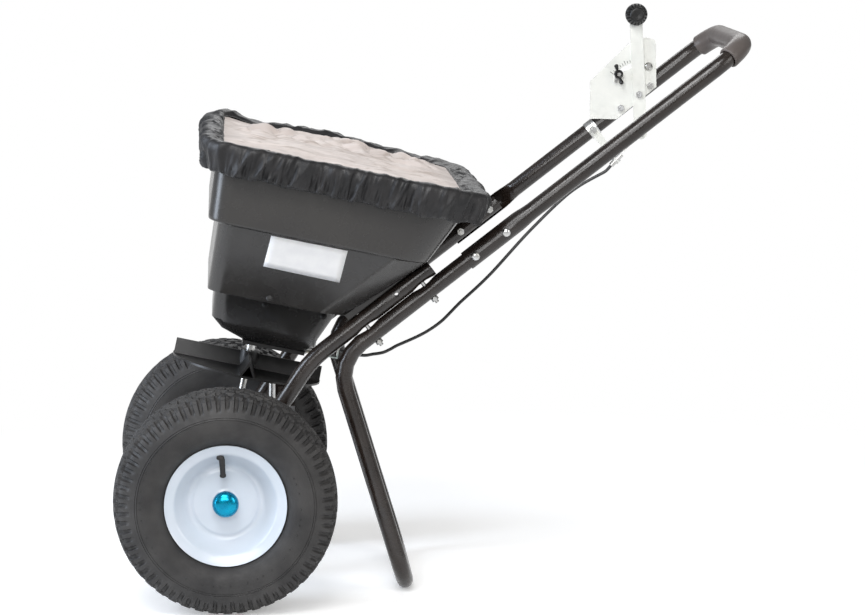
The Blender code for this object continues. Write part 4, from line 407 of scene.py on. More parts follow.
def turned(name, profile, steps, matrix, degrees=30.0, shaped=None):
    """A profile of radius and height turned round the matrix's Z axis; shaped alters the radius."""
    rings = []
    for a in turns(steps):
        radii = [shaped(a, r, h) if shaped else r for r, h in profile]
        rings.append([matrix @ Vector((radius * math.cos(a), radius * math.sin(a), h))
                      for radius, (_, h) in zip(radii, profile)])
    return loft(name, rings, around=False, along=True, degrees=degrees)


def facing(place, sign):
    """A frame at a place, whose Z axis points along Y to the side of the sign."""
    return Matrix.Translation(place) @ Matrix.Rotation(-sign * math.pi / 2.0, 4, "X")


REPLACED = set()


def dress(obj, material, body, slot=None, nodes=()):
    """Gives an object its material, its body and the CAD nodes that it replaces; the slot is not
    used.
    """
    obj.data.materials.clear()
    obj.data.materials.append(material)
    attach(obj, body)
    if nodes:
        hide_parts(*nodes)
        REPLACED.update(nodes)
    return obj


def piece(name, mesh, *dressing):
    return dress(new_object(name, mesh), *dressing)


def thicken(obj, thickness, offset=0.0, even=False):
    wall = obj.modifiers.new("thickness", "SOLIDIFY")
    wall.thickness = thickness
    wall.offset = offset
    wall.use_even_offset = even


def smoothstep(value, start, end):
    t = min(1.0, max(0.0, (value - start) / (end - start)))
    return t * t * (3.0 - 2.0 * t)


# Tyres

LUGS = 72
LUG_SHARE = 0.45
SEGMENTS_PER_LUG = 7
SIDEWALL_RINGS = (0.1293, 0.1322)
TREAD_GROOVES = (0.0105, 0.0285)
TREAD_START = 0.1380
LUG_DEPTH = 0.0046
SHOULDER_DEPTH = 0.0024
GROOVE_DEPTH = 0.0042
BLOCK_DEPTH = 0.0034
NUBS = 44
NUB_RADII = (0.1080, 0.1370)
GOLDEN_ANGLE = 2.399963
GOLDEN_SHARE = 0.618034
TYRE_SECTION = [
    (0.0888, 0.0435), (0.0906, 0.0456), (0.0940, 0.0508), (0.1000, 0.0561), (0.1085, 0.0600),
    (0.1180, 0.0614), (0.1280, 0.0609), (0.1370, 0.0590), (0.1440, 0.0566), (0.1510, 0.0536),
    (0.1568, 0.0494), (0.1608, 0.0440), (0.1630, 0.0372), (0.1643, 0.0250), (0.1649, 0.0120),
    (0.1650, 0.0),
]


def tyre_profile():
    """Half of the tyre's section, from the bead out over the shoulder to the tread's middle."""
    half = [tuple(p) for p in rounded_curve(TYRE_SECTION, 0.0030)]
    for ring in SIDEWALL_RINGS:
        out = min(half, key=lambda p: abs(p[0] - ring) + (0.1 if p[1] < 0.05 else 0.0))[1]
        half = [p for p in half if abs(p[0] - ring) > 0.0011 or p[1] < 0.05]
        half += [(ring - 0.0008, out), (ring, out - 0.0008), (ring + 0.0008, out - 0.0001)]
    bead = TYRE_SECTION[0][1]
    side = sorted(p for p in half if p[1] > bead)
    tread = [p for p in half if p[1] <= bead and p[0] > 0.1]
    start = [p for p in half if p[1] <= bead and p[0] <= 0.1]
    return start + side + sorted(tread, key=lambda p: -p[1])


def tread_depth(turn, radius, out):
    """How far the tread and shoulder are cut in at a place on the tyre."""
    lug = turn * LUGS
    depth = 0.0
    foot = 0.1385 if (lug % 2.0) < 1.0 else 0.1410
    shoulder = smoothstep(radius, foot, foot + 0.0110) * smoothstep(abs(out), 0.0400, 0.0440)
    if (lug % 1.0) > LUG_SHARE:
        depth = LUG_DEPTH * shoulder
    if 0.0448 < abs(out) < 0.0478 and radius > 0.15:
        depth = max(depth, SHOULDER_DEPTH)
    if abs(out) < 0.0470:
        row = 0
        zigzag = 0.0016 * (1.0 if (lug % 2.0) < 1.0 else -1.0)
        for groove in TREAD_GROOVES:
            if abs(abs(out) + zigzag - groove) < 0.0022:
                depth = max(depth, GROOVE_DEPTH)
            if abs(out) > groove:
                row += 1
        block = (lug / 1.5 + 0.5 * row + (0.25 if out > 0.0 else 0.0)) % 1.0
        if block > 0.72:
            depth = max(depth, BLOCK_DEPTH)
    return depth


def make_tyre(name, sign, body, node):
    half = tyre_profile()
    profile = half + [(r, -out) for r, out in reversed(half[:-1])]
    normals = []
    for i, (r, out) in enumerate(profile):
        before = profile[max(0, i - 1)]
        after = profile[min(len(profile) - 1, i + 1)]
        along = Vector((after[0] - before[0], after[1] - before[1])).normalized()
        normals.append((-along.y, along.x))
    rings = []
    steps = LUGS * SEGMENTS_PER_LUG
    for step in range(steps):
        turn = step / steps
        angle = 2.0 * math.pi * turn
        ring = []
        for (r, out), (nr, nout) in zip(profile, normals):
            depth = tread_depth(turn, r, out) if r > TREAD_START else 0.0
            ring.append(wheel_point(sign, r - depth * nr, angle, out - depth * nout))
        rings.append(ring)
    mesh = loft(name, rings, around=False, along=True, degrees=32.0)
    piece(name, mesh, TYRE, body, "tyre_rubber", (node,))


def make_nubs(name, sign, body):
    """The short moulding hairs scattered over the sidewall."""
    bm = bmesh.new()
    low, high = NUB_RADII
    for i in range(NUBS):
        angle = i * GOLDEN_ANGLE + 0.4
        radius = low + (high - low) * ((i * GOLDEN_SHARE) % 1.0)
        outer = 0.0035 * smoothstep(radius, 0.1240, 0.1380)
        out = 0.0612 - outer - 0.0016 * smoothstep(-radius, -0.1130, -0.1040)
        matrix = facing(wheel_point(sign, radius, angle, out), sign)
        bmesh.ops.create_cone(bm, cap_ends=True, segments=8, radius1=0.0011, radius2=0.0007,
                              depth=0.0024, matrix=matrix)
    piece(name, from_bmesh(bm, name, 40.0), RUBBER, body, "tyre_rubber")


# Rims, hub caps and valves

RIM_FACE = [
    (0.0083, 0.0300), (0.0158, 0.0300), (0.0165, 0.0293), (0.0165, 0.0196), (0.0178, 0.0180),
    (0.0210, 0.0172), (0.0300, 0.0160), (0.0400, 0.0150), (0.0455, 0.0146), (0.0478, 0.0142),
    (0.0495, 0.0131), (0.0512, 0.0124), (0.0540, 0.0126), (0.0575, 0.0146), (0.0602, 0.0182),
    (0.0630, 0.0228), (0.0670, 0.0294), (0.0710, 0.0360), (0.0735, 0.0402), (0.0748, 0.0420),
    (0.0762, 0.0432), (0.0785, 0.0442), (0.0830, 0.0458), (0.0870, 0.0474), (0.0886, 0.0484),
    (0.0895, 0.0488), (0.0898, 0.0480), (0.0898, 0.0456), (0.0890, 0.0448), (0.0840, 0.0430),
    (0.0775, 0.0398), (0.0762, 0.0380), (0.0700, 0.0290), (0.0648, 0.0208), (0.0640, 0.0190),
]
FLANGE_START = 14
RIM_BACK = [
    (0.0612, -0.0195), (0.0610, 0.0070), (0.0600, 0.0086), (0.0560, 0.0092), (0.0480, 0.0096),
    (0.0300, 0.0122), (0.0185, 0.0136), (0.0166, 0.0130), (0.0165, 0.0110), (0.0165, -0.0395),
    (0.0160, -0.0400), (0.0083, -0.0400),
]


def make_rim(name, sign, body, node):
    drum = [(r, -out) for r, out in reversed(RIM_FACE[FLANGE_START:])]
    profile = RIM_FACE + drum + RIM_BACK
    mesh = turned_wheel(name, sign, profile, 96, degrees=38.0)
    piece(name, mesh, ENAMEL, body, "rim_white", (node,))


def make_cap(name, sign, body, node):
    base = 0.0303
    profile = [
        (0.0, 0.0448), (0.0025, 0.04477), (0.0060, 0.0445), (0.0095, 0.0439), (0.0125, 0.0429),
        (0.0152, 0.0414), (0.0173, 0.0394), (0.0187, 0.0371), (0.0194, 0.0346), (0.0195, 0.0325),
        (0.0195, base), (0.0152, base), (0.0145, 0.0370), (0.0, 0.0405),
    ]
    mesh = turned_wheel(name, sign, profile, 64, closed=False, degrees=40.0)
    piece(name, mesh, TEAL, body, "cap_teal", (node,))


# Radius, turn and distance outwards of the stem's points, then the reach and radius of its cap
VALVE_PATH = ((0.0722, 0.025, 0.0380), (0.0705, -0.025, 0.0405), (0.0675, -0.045, 0.0405),
              (0.0445, -0.035, 0.0330))
VALVE_CAP = ((0.0004, 0.0046), (0.0016, 0.0047), (0.0032, 0.0044), (0.0040, 0.0034),
             (0.0043, 0.0018))


def make_valve(name, sign, body, node):
    """Bent rubber stem: a foot in the dish, a straight body and a rounded cap."""
    low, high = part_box(node)
    middle = [(a + b) / 2.0 for a, b in zip(low, high)]
    angle = math.atan2(middle[2] - AXLE.z, middle[0] - AXLE.x)
    points = [wheel_point(sign, r, angle + turn, out) for r, turn, out in VALVE_PATH]
    path = rounded_curve(points, 0.0015)
    last = len(path) - 1
    radii = [0.0044 if i < len(path) * 0.55 else 0.0040 for i in range(len(path))]
    rings = [path_ring(path, i, ACROSS, radius, 20) for i, radius in enumerate(radii)]
    rings += [path_ring(path, last, ACROSS, radius, 20, reach) for reach, radius in VALVE_CAP]
    mesh = loft(name, rings, caps=True, degrees=45.0)
    piece(name, mesh, RUBBER, body, "black_rubber", (node,))


for (label, sign), wheel in zip(SIDES, ("drive", "idler")):
    make_valve("valve_" + label, sign, wheel, wheel + "_valve")
    make_tyre("tyre_" + label, sign, wheel, wheel + "_tyre")
    make_nubs("tyre_nubs_" + label, sign, wheel)
    make_rim("rim_" + label, sign, wheel, wheel + "_rim")
    make_cap("hub_cap_" + label, sign, wheel, wheel + "_hub_cap")


# Hopper

CORNER_STEPS = 12
PORT_ROWS = (-0.034, 0.0, 0.034)
PORT_FRONT = 0.0455
PORT_REAR = 0.0645
PORT_HALF = 0.012
BUSH_HOLE_R = 0.0081
CUT_HEIGHTS = (0.20, 0.23)
CREASE = 0.0055


def from_rim(height, front, rear, half, *corners):
    """A hopper section from its height over the floor and its distances to the rim."""
    return (FLOOR_H + height, RIM_FRONT + front, RIM_REAR - rear, RIM_HALF - half, *corners)


WELL_SECTIONS = [
    (FLOOR_H, FLOOR_FRONT, FLOOR_REAR, FLOOR_HALF, 0.012, 0.012, 0.012),
    (FLOOR_H + 0.0140, FLOOR_FRONT - 0.036, FLOOR_REAR + 0.010, FLOOR_HALF + 0.026,
     0.020, 0.016, 0.014),
    (FLOOR_H + 0.0300, FLOOR_FRONT - 0.054, FLOOR_REAR + 0.0145, FLOOR_HALF + 0.043,
     0.025, 0.018, 0.016),
    from_rim(0.0745, 0.0393, 0.1567, 0.1256, 0.025, 0.020, 0.018),
]
STEP_SECTIONS = [
    from_rim(0.0766, 0.0375, 0.1557, 0.1170, 0.025, 0.026, 0.022),
    from_rim(0.0790, 0.0300, 0.1478, 0.0680, 0.025, 0.034, 0.026),
    from_rim(0.0803, 0.0280, 0.1460, 0.0612, 0.025, 0.036, 0.027),
    from_rim(0.0830, 0.0274, 0.1436, 0.0592, 0.025, 0.038, 0.028),
]
SHELF_H = BAND_FOOT - 0.0030
BODY_TOP = from_rim(SHELF_H - FLOOR_H - 0.0018, 0.0220, 0.0475, 0.0152, 0.028, 0.052, 0.040)


def shell_ring(section, grow=0.0):
    """A rounded rectangle of a hopper section: height, front, rear, half width, corners."""
    height, front, rear, half, front_r, rear_rx, rear_ry = section
    corners = (
        (rear - rear_rx, half - rear_ry, rear_rx, rear_ry),
        (front + front_r, half - front_r, front_r, front_r),
        (front + front_r, front_r - half, front_r, front_r),
        (rear - rear_rx, rear_ry - half, rear_rx, rear_ry),
    )
    ring = []
    for quarter, (x, y, rx, ry) in enumerate(corners):
        for i in range(CORNER_STEPS + 1):
            angle = math.pi / 2.0 * (quarter + i / CORNER_STEPS)
            across = (rx + grow) * math.cos(angle)
            ring.append(Vector((x + across, y + (ry + grow) * math.sin(angle), height)))
    return ring


def fillet(before, corner, after, steps):
    """A short rounded turn from one point to the next round a corner."""
    points = []
    for i in range(steps + 1):
        s = i / steps
        points.append(before * (1.0 - s)**2 + corner * (2.0 * s * (1.0 - s)) + after * s**2)
    return points


def body_ring(section):
    """A body ring, whose rear corners are flat chamfers with soft creases."""
    ring = shell_ring(section)
    height, _, rear, half, _, run, depth = section
    count = CORNER_STEPS + 1
    for first, side in ((0, 1.0), (3 * count, -1.0)):
        behind = Vector((rear, side * (half - depth), height))
        beside = Vector((rear - run, side * half, height))
        across = (beside - behind).normalized() * CREASE
        points = fillet(behind - Vector((0.0, side * CREASE, 0.0)), behind, behind + across, 4)
        middle = [behind.lerp(beside, s) for s in (0.35, 0.5, 0.65)]
        points += middle + fillet(beside - across, beside, beside - Vector((CREASE, 0.0, 0.0)), 4)
        if side < 0.0:
            points.reverse()
        ring[first:first + count] = points
    return ring


def rim_section(height, share=1.0):
    taper = (1.0 - share) * 0.0450
    return (height, RIM_FRONT + taper * 0.15, RIM_REAR - taper, RIM_HALF - taper * 0.11,
            RIM_FRONT_CORNER, *RIM_REAR_CORNER)


def between(first, second, share):
    return tuple(a + (b - a) * share for a, b in zip(first, second))


def hopper_rings():
    foot = rim_section(BAND_FOOT, 0.0)
    shelf = [
        (SHELF_H + lift, *between(BODY_TOP, foot, share)[1:])
        for share, lift in ((0.10, 0.0), (0.55, 0.0012), (0.86, 0.0020), (0.965, 0.0034))
    ]
    top = rim_section(RIM_H - WALL)
    band = [between(foot, top, share) for share in (0.030, 0.06, 0.35, 0.70, 0.97)]
    rings = [shell_ring(s) for s in WELL_SECTIONS]
    rings += [body_ring(s) for s in STEP_SECTIONS + [BODY_TOP]]
    rings += [shell_ring(s) for s in shelf + band]
    rings.append(shell_ring(top, 0.0012))
    rings.append([p + Vector((0.0, 0.0, 0.0004)) for p in shell_ring(top, LIP * 0.75)])
    rings.append([p - Vector((0.0, 0.0, 0.0006)) for p in shell_ring(top, LIP)])
    return rings


def apply_modifiers(obj):
    """The object's mesh with its modifiers applied."""
    depsgraph = bpy.context.evaluated_depsgraph_get()
    mesh = bpy.data.meshes.new_from_object(obj.evaluated_get(depsgraph))
    old = obj.data
    obj.modifiers.clear()
    obj.data = mesh
    bpy.data.meshes.remove(old)


def prism(name, outline, low, high):
    """An upright prism over an outline in x and y."""
    rings = [[Vector((x, y, h)) for x, y in outline] for h in (low, high)]
    return loft(name, rings, caps=True, degrees=30.0)


def make_hopper():
    mesh = loft("hopper_shell", hopper_rings(), floor=True)
    face_out(mesh, Vector((RIM_MIDDLE, 0.0, RIM_H)))
    shell = new_object("hopper_shell", mesh)
    thicken(shell, WALL, -1.0, even=True)
    outlines = []
    for y in PORT_ROWS:
        low, high = y - PORT_HALF, y + PORT_HALF
        outlines.append([(PORT_FRONT, low), (PORT_REAR, low), (PORT_REAR, high), (PORT_FRONT, high)])
    outlines.append([(BUSH_HOLE_R * math.cos(a), BUSH_HOLE_R * math.sin(a)) for a in turns(24)])
    cutters = [new_object("cutter", prism("cutter", o, *CUT_HEIGHTS)) for o in outlines]
    for cutter in cutters:
        hole = shell.modifiers.new(cutter.name, "BOOLEAN")
        hole.object = cutter
        hole.operation = "DIFFERENCE"
        hole.solver = "EXACT"
    apply_modifiers(shell)
    for cutter in cutters:
        bpy.data.objects.remove(cutter)
    shell.data.transform(TILTED)
    shell.data.shade_smooth()
    shell.data.set_sharp_from_angle(angle=math.radians(28.0))
    dress(shell, HOPPER, "frame", "hopper_plastic", ("hopper",))


def make_mount_ribs():
    """The two ribs under the rear wall that sit on the frame tubes."""
    foot = STACK_W + TUBE_R + CLEAR
    edge = 0.0012
    half = 0.0080
    for label, sign in SIDES:
        rings = []
        for u, top in ((0.2640, 0.0104), (0.4040, 0.0026)):
            corners = [
                (-half + edge, foot), (half - edge, foot), (half, foot + edge),
                (half, foot + top), (-half, foot + top), (-half, foot + edge),
            ]
            rings.append([HANDLE @ Vector((u, sign * FRAME_HALF_Y + y, w)) for y, w in corners])
        mesh = loft("mount_rib_" + label, rings, caps=True, degrees=30.0)
        piece("mount_rib_" + label, mesh, HOPPER, "frame", "hopper_plastic")


def half_width(height, low, high):
    """Half of the hopper's width at a height between two sections."""
    share = (height - low[0]) / (high[0] - low[0])
    return low[3] + (high[3] - low[3]) * share


def side_wall(x, height, lift):
    """A point on the hopper's tapered near wall."""
    half = half_width(height, STEP_SECTIONS[-1], BODY_TOP)
    return TILTED @ Vector((x, -(half + lift), height))


LABEL_TOP = (Vector((-0.0125, 0.3955)), Vector((0.1017, 0.3960)))
LABEL_FOOT = (Vector((-0.0141, 0.3462)), Vector((0.1007, 0.3450)))


def label_point(u, v):
    spot = LABEL_TOP[0].lerp(LABEL_TOP[1], u).lerp(LABEL_FOOT[0].lerp(LABEL_FOOT[1], u), v)
    lift = 0.00025 + 0.00012 * noise.noise(Vector((spot.x * 60.0, spot.y * 60.0, 0.3)))
    return side_wall(spot.x, spot.y, lift)


def make_label():
    """The label's place, left bare."""
    rows = [[label_point(j / 12.0, i / 6.0) for j in range(13)] for i in range(7)]
    mesh = loft("side_label", rows, around=False)
    label = piece("side_label", mesh, LABEL, "frame")
    thicken(label, 0.00015, -1.0)


STEP_SCREW = (0.0051, 0.3002, 0.1935)
WELL_SCREWS = ((0.0046, 0.2797), (0.0928, 0.2800))
WELL_LEAN = 0.41


def make_hopper_screws():
    """Three small screws with bosses low on the near wall, and the same on the far one."""
    bm = bmesh.new()
    spots = [STEP_SCREW]
    spots += [(x, h, half_width(h, *WELL_SECTIONS[2:4])) for x, h in WELL_SCREWS]
    for _, sign in SIDES:
        for x, height, half in spots:
            place = Vector((x, sign * (half + 0.0006), height))
            turn = Matrix.Rotation(sign * (WELL_LEAN - math.pi / 2.0), 4, "X")
            matrix = TILTED @ Matrix.Translation(place) @ turn
            for radius, depth, lift in ((0.0052, 0.0012, 0.0), (0.0036, 0.0024, 0.0010)):
                shifted = matrix @ Matrix.Translation((0.0, 0.0, lift))
                bmesh.ops.create_cone(bm, cap_ends=True, segments=20, radius1=radius,
                                      radius2=radius * 0.8, depth=depth, matrix=shifted)
    piece("hopper_screws", from_bmesh(bm, "hopper_screws", 30.0), RUBBER, "frame", "black_plastic")


make_hopper()
make_mount_ribs()
make_label()
make_hopper_screws()


# Rain cover: a gathered cloth border round a creased vinyl window

BORDER_STEP = 0.0019
BORDER_PROFILE = [
    (0.0022, -LIP, 0.922), (0.0030, -LIP, 0.928), (0.0048, -LIP, 0.942), (0.0066, -0.0085, 0.960),
    (0.0078, -0.0050, 0.980), (0.0082, 0.0000, 0.995), (0.0076, 0.0050, 1.0),
    (0.0056, 0.0098, 1.0), (0.0022, 0.0134, 1.0), (-0.0030, 0.0156, 1.0),
    (-0.0090, 0.0164, 1.0), (-0.0150, 0.0162, 1.0), (-0.0210, 0.0154, 1.0),
    (-0.0265, 0.0144, 1.0), (-0.0315, 0.0134, 1.0), (-0.0360, 0.0125, 1.0),
    (-0.0395, 0.0114, 1.0), (-0.0412, 0.0094, 1.0), (-0.0406, 0.0074, 1.0), (-0.0388, 0.0064, 1.0),
]


def outline_points(spacing):
    """Evenly spaced points along the hopper's rim, each with its outward direction."""
    flat = [p.to_2d() for p in shell_ring(rim_section(0.0), LIP)]
    lengths = [0.0]
    for here, after in zip(flat, flat[1:] + flat[:1]):
        lengths.append(lengths[-1] + (after - here).length)
    total = lengths[-1]
    count = round(total / spacing)
    found = []
    edge = 0
    for i in range(count):
        along = total * i / count
        while lengths[edge + 1] < along:
            edge += 1
        here = flat[edge]
        after = flat[(edge + 1) % len(flat)]
        span = lengths[edge + 1] - lengths[edge]
        found.append(here.lerp(after, (along - lengths[edge]) / span if span else 0.0))
    result = []
    for i, place in enumerate(found):
        ahead = found[(i + 3) % count] - found[i - 3]
        result.append((place, Vector((ahead.y, -ahead.x)).normalized(), total * i / count))
    return result, total


def ring_noise(along, total, wave, across, seed):
    """Noise that closes on itself round the rim, with bumps about a wave long."""
    angle = 2.0 * math.pi * along / total
    radius = total / (2.0 * math.pi * wave)
    return noise.noise(Vector((radius * math.cos(angle), radius * math.sin(angle), across + seed)))


def ridge(value):
    """A noise value made into sharp crests with round hollows between them."""
    return 0.5 - min(1.0, 2.4 * abs(value)) ** 0.8


def hump(x, y):
    """How much the cover's far side stands up, most at its middle and at the front corner."""
    far = smoothstep(y, 0.06, 0.20)
    middle = 0.0072 * math.exp(-(((x - 0.060) / 0.105) ** 2))
    corner = 0.0075 * math.exp(-(((x + 0.112) / 0.034) ** 2))
    return far * (middle + corner)


def toward_front(x, share):
    """The share of the way from the rim's middle, greater towards the front."""
    return share + (1.0 - share) * 0.48 * smoothstep(RIM_MIDDLE - x, 0.10, 0.18)


def border_point(place, normal, along, total, down, station):
    """A point of the gathered cloth: down runs from 0 at the window to 1 at the hem."""
    rise, grow, share = station
    middle = Vector((RIM_MIDDLE, 0.0))
    top = smoothstep(down, 0.03, 0.20) * (1.0 - smoothstep(down, 0.45, 0.68))
    skirt = smoothstep(down, 0.34, 0.70)
    hem = smoothstep(down, 0.62, 0.90)
    slanted = along + 0.045 * down
    lump = ring_noise(slanted, total, 0.055, down * 1.4, 3.0)
    puff = ridge(ring_noise(slanted, total, 0.030, down * 1.7, 11.0))
    fold = ridge(ring_noise(slanted, total, 0.0190, down * 1.5, 29.0))
    pleat = ridge(ring_noise(along + 0.006 * down, total, 0.0095, down * 0.9, 47.0))
    gather = ridge(ring_noise(along, total, 0.0056, down * 0.5, 71.0))
    out = 0.0044 * lump * (0.4 + skirt) + 0.0062 * fold * skirt + 0.0054 * pleat * hem
    out += 0.0040 * gather * hem + 0.0026 * puff * top
    lift = 0.0050 * lump * top + 0.0046 * puff * top + 0.0030 * fold * top
    lift += 0.0045 * ring_noise(along, total, 0.020, 0.0, 61.0) * hem + 0.0014 * gather * hem
    far = smoothstep(place.y, 0.12, 0.22)
    lift *= 1.0 - 0.45 * far * top
    reach = place - middle
    share_x = toward_front(place.x, share)
    tuck = 0.0065 * hem * max(0.0, -normal.x)
    spot = middle + Vector((reach.x * share_x, reach.y * share)) + normal * (grow + out - tuck)
    crest = smoothstep(down, 0.05, 0.20)
    near = smoothstep(-place.y, 0.10, 0.22)
    height = COVER_TOP + rise + lift + hump(place.x, place.y) * (1.0 + 0.5 * crest) * (1.0 - skirt)
    height += near * (0.0055 * skirt - 0.0022 * top)
    if down < 0.45:
        height = max(height, RIM_H + 0.0020)
    return TILTED @ Vector((spot.x, spot.y, height))


def make_border():
    outline, total = outline_points(BORDER_STEP)
    stations = rounded_curve(BORDER_PROFILE, 0.0026)
    rings = []
    for i, station in enumerate(stations):
        down = i / (len(stations) - 1)
        rings.append([border_point(p, n, s, total, down, station) for p, n, s in outline])
    mesh = loft("cover_border", rings)
    border = piece("cover_border", mesh, CLOTH, "cover", "cover_cloth", ("rain_cover",))
    thicken(border, 0.0008)


WINDOW_STEP = 0.0026
WINDOW_SHARE = 0.935


def window_height(x, y):
    """The vinyl bellies a little, with long creases, and rumples along the far side."""
    across = (x - RIM_MIDDLE) / (RIM_REAR - RIM_MIDDLE)
    side = y / RIM_HALF
    edge = max(abs(across), abs(side))
    inner = 1.0 - smoothstep(edge, 0.72, 0.91)
    belly = 0.0050 * (1.0 - across * across) * (1.0 - side * side)
    long_fold = noise.noise(Vector((x * 6.0 + y * 1.5, y * 24.0 - x * 5.0, 1.7)))
    fine_fold = noise.noise(Vector((x * 15.0, y * 70.0 - x * 12.0, 5.1)))
    rumple = noise.noise(Vector((x * 34.0, y * 32.0, 9.3)))
    broad = noise.noise(Vector((x * 15.0, y * 13.0, 13.0)))
    far = smoothstep(side, 0.05, 0.60) * (1.0 - smoothstep(across, 0.60, 0.95))
    far *= 1.0 - smoothstep(side, 0.56, 0.86)
    creases = 0.0036 * ridge(long_fold) + 0.0016 * ridge(fine_fold)
    bumps = 0.0175 * abs(rumple) * far + 0.0050 * broad * (0.4 + far)
    base = COVER_TOP + 0.0016 + hump(x, y)
    return base + belly + (creases + bumps) * (0.15 + 0.85 * inner)


def make_window():
    half_x = (RIM_REAR - RIM_MIDDLE) * WINDOW_SHARE
    half_y = RIM_HALF * WINDOW_SHARE
    columns = round(2.0 * half_x / WINDOW_STEP)
    rows = round(2.0 * half_y / WINDOW_STEP)
    grid = []
    for i in range(rows + 1):
        v = 2.0 * i / rows - 1.0
        row = []
        for j in range(columns + 1):
            u = 2.0 * j / columns - 1.0
            corner = smoothstep(abs(u), 0.75, 1.0) * smoothstep(abs(v), 0.80, 1.0)
            pull = 1.0 - 0.035 * corner
            x = RIM_MIDDLE + half_x * u * pull - 0.0085 * smoothstep(-u, 0.55, 1.0)
            y = half_y * v * pull
            row.append(TILTED @ Vector((x, y, window_height(x, y))))
        grid.append(row)
    mesh = loft("cover_film", grid, around=False)
    film = piece("cover_film", mesh, VINYL, "cover", "window_vinyl", ("cover_window",))
    thicken(film, 0.0005)


make_border()
make_window()


# Grip on the handle's top bar

BEND_STEPS = 14
BAR_STEPS = 20
GRIP_END = ((0.0, 0.0132), (0.0, 0.0150), (0.0006, 0.0160), (0.0018, 0.0164))


def handle_route():
    """The handle's top bar and its two bends, as u and y."""
    corner_u = HANDLE_TOP_U - HANDLE_BEND_R
    corner_y = FRAME_HALF_Y - HANDLE_BEND_R
    bend = []
    for step in range(BEND_STEPS + 1):
        angle = math.pi / 2.0 * step / BEND_STEPS
        bend.append((corner_u + HANDLE_BEND_R * math.sin(angle),
                     -corner_y - HANDLE_BEND_R * math.cos(angle)))
    bar = [(HANDLE_TOP_U, corner_y * (2.0 * k / BAR_STEPS - 1.0)) for k in range(1, BAR_STEPS)]
    return bend + bar + [(u, -y) for u, y in reversed(bend)]


def make_grip():
    route = [p for p in handle_route() if p[0] > GRIP_START_U]
    places = [HANDLE @ Vector((u, y, 0.0)) for u, y in route]
    up = (HANDLE.to_3x3() @ Vector((0.0, 0.0, 1.0))).normalized()
    last = len(places) - 1
    rings = [path_ring(places, 0, up, radius, 32, inset) for inset, radius in GRIP_END]
    for i in range(1, last):
        wobble = 0.00015 * noise.noise(places[i] * 60.0)
        rings.append(path_ring(places, i, up, GRIP_R + wobble, 32))
    rings += [path_ring(places, last, up, r, 32, -inset) for inset, r in reversed(GRIP_END)]
    mesh = loft("grip_sleeve", rings, degrees=50.0)
    piece("grip_sleeve", mesh, GRIP, "frame", "grip_rubber", ("grip",))


make_grip()


# Control: knob, wing nut and the gauge's scale

KNOB_FLUTES = 18
FLUTE_DEPTH = 0.0021
TICKS = 10
TICK_START = math.radians(101.0)
TICK_STEP = math.radians(4.6)
TICK_GAP = 0.0052
TICK_LONG = 0.0062
TICK_SHORT = 0.0040
TICK_HALF_W = 0.00035
TICK_T = 0.0001
WING_TURN = math.radians(108.0)
WING_SECTIONS = (
    (0.0058, 0.0032, 0.0016), (0.0085, 0.0046, 0.0020), (0.0115, 0.0062, 0.0030),
    (0.0142, 0.0072, 0.0034), (0.0160, 0.0076, 0.0024), (0.0166, 0.0077, 0.0010),
)


def control_point(radius, angle, y):
    """A point round the lever's pivot."""
    return Vector((PIVOT.x + radius * math.cos(angle), y, PIVOT.z + radius * math.sin(angle)))


def make_knob():
    """A round knob: a smooth foot ring, a fluted slope and a smaller domed face."""
    lever_face = LEVER_Y - LEVER_T / 2.0 - CLEAR
    matrix = facing(control_point(LEVER_UP, math.pi / 2.0 + LEVER_LEAN, lever_face), -1.0)
    profile = [
        (0.0, 0.0208), (0.0020, 0.0209), (0.0045, 0.0214), (0.0080, 0.0219), (0.0096, 0.0218),
        (0.0108, 0.0211), (0.0114, 0.0202), (0.0122, 0.0188), (0.0134, 0.0166), (0.0146, 0.0144),
        (0.0157, 0.0120), (0.0165, 0.0098), (0.0172, 0.0080), (0.0175, 0.0064), (0.0174, 0.0048),
        (0.0166, 0.0036), (0.0140, 0.0030), (0.0105, 0.0026), (0.0098, 0.0020), (0.0096, 0.0),
        (0.0, 0.0),
    ]

    def fluted(a, r, h):
        slope = smoothstep(h, 0.0075, 0.0100) * (1.0 - smoothstep(h, 0.0185, 0.0203))
        cut = max(0.0, math.cos(KNOB_FLUTES * a)) ** 0.5
        return r - FLUTE_DEPTH * cut * slope if r > 0.0110 else r

    mesh = turned("lever_knob", profile, KNOB_FLUTES * 8, matrix, 32.0, fluted)
    piece("lever_knob", mesh, PLASTIC, "lever", "black_plastic", ("knob",))


def make_wing_nut():
    place = control_point(STOP_R, STOP_ANGLE, PLATE_Y - PLATE_T / 2.0 - 2.0 * CLEAR - STOP_T)
    matrix = facing(place, -1.0) @ Matrix.Rotation(WING_TURN, 4, "Z")
    barrel = [
        (0.0034, 0.0), (0.0062, 0.0), (0.0070, 0.0007), (0.0071, 0.0040), (0.0068, 0.0056),
        (0.0060, 0.0063), (0.0046, 0.0061), (0.0040, 0.0052), (0.0034, 0.0050),
    ]
    bm = bmesh.new()
    bm.from_mesh(turned("wing_barrel", barrel + barrel[:1], 48, matrix))
    for sign in (-1.0, 1.0):
        rows = []
        for x, h, half in rounded_curve(WING_SECTIONS, 0.0008):
            rows.append([matrix @ Vector((sign * x, half * math.cos(a), h + half * math.sin(a)))
                         for a in turns(16)])
        bm.from_mesh(loft("wing", rows, caps=True))
    mesh = from_bmesh(bm, "stop_wing_nut", 40.0)
    piece("stop_wing_nut", mesh, PLASTIC, "wing", "black_plastic", ("wing_nut",))


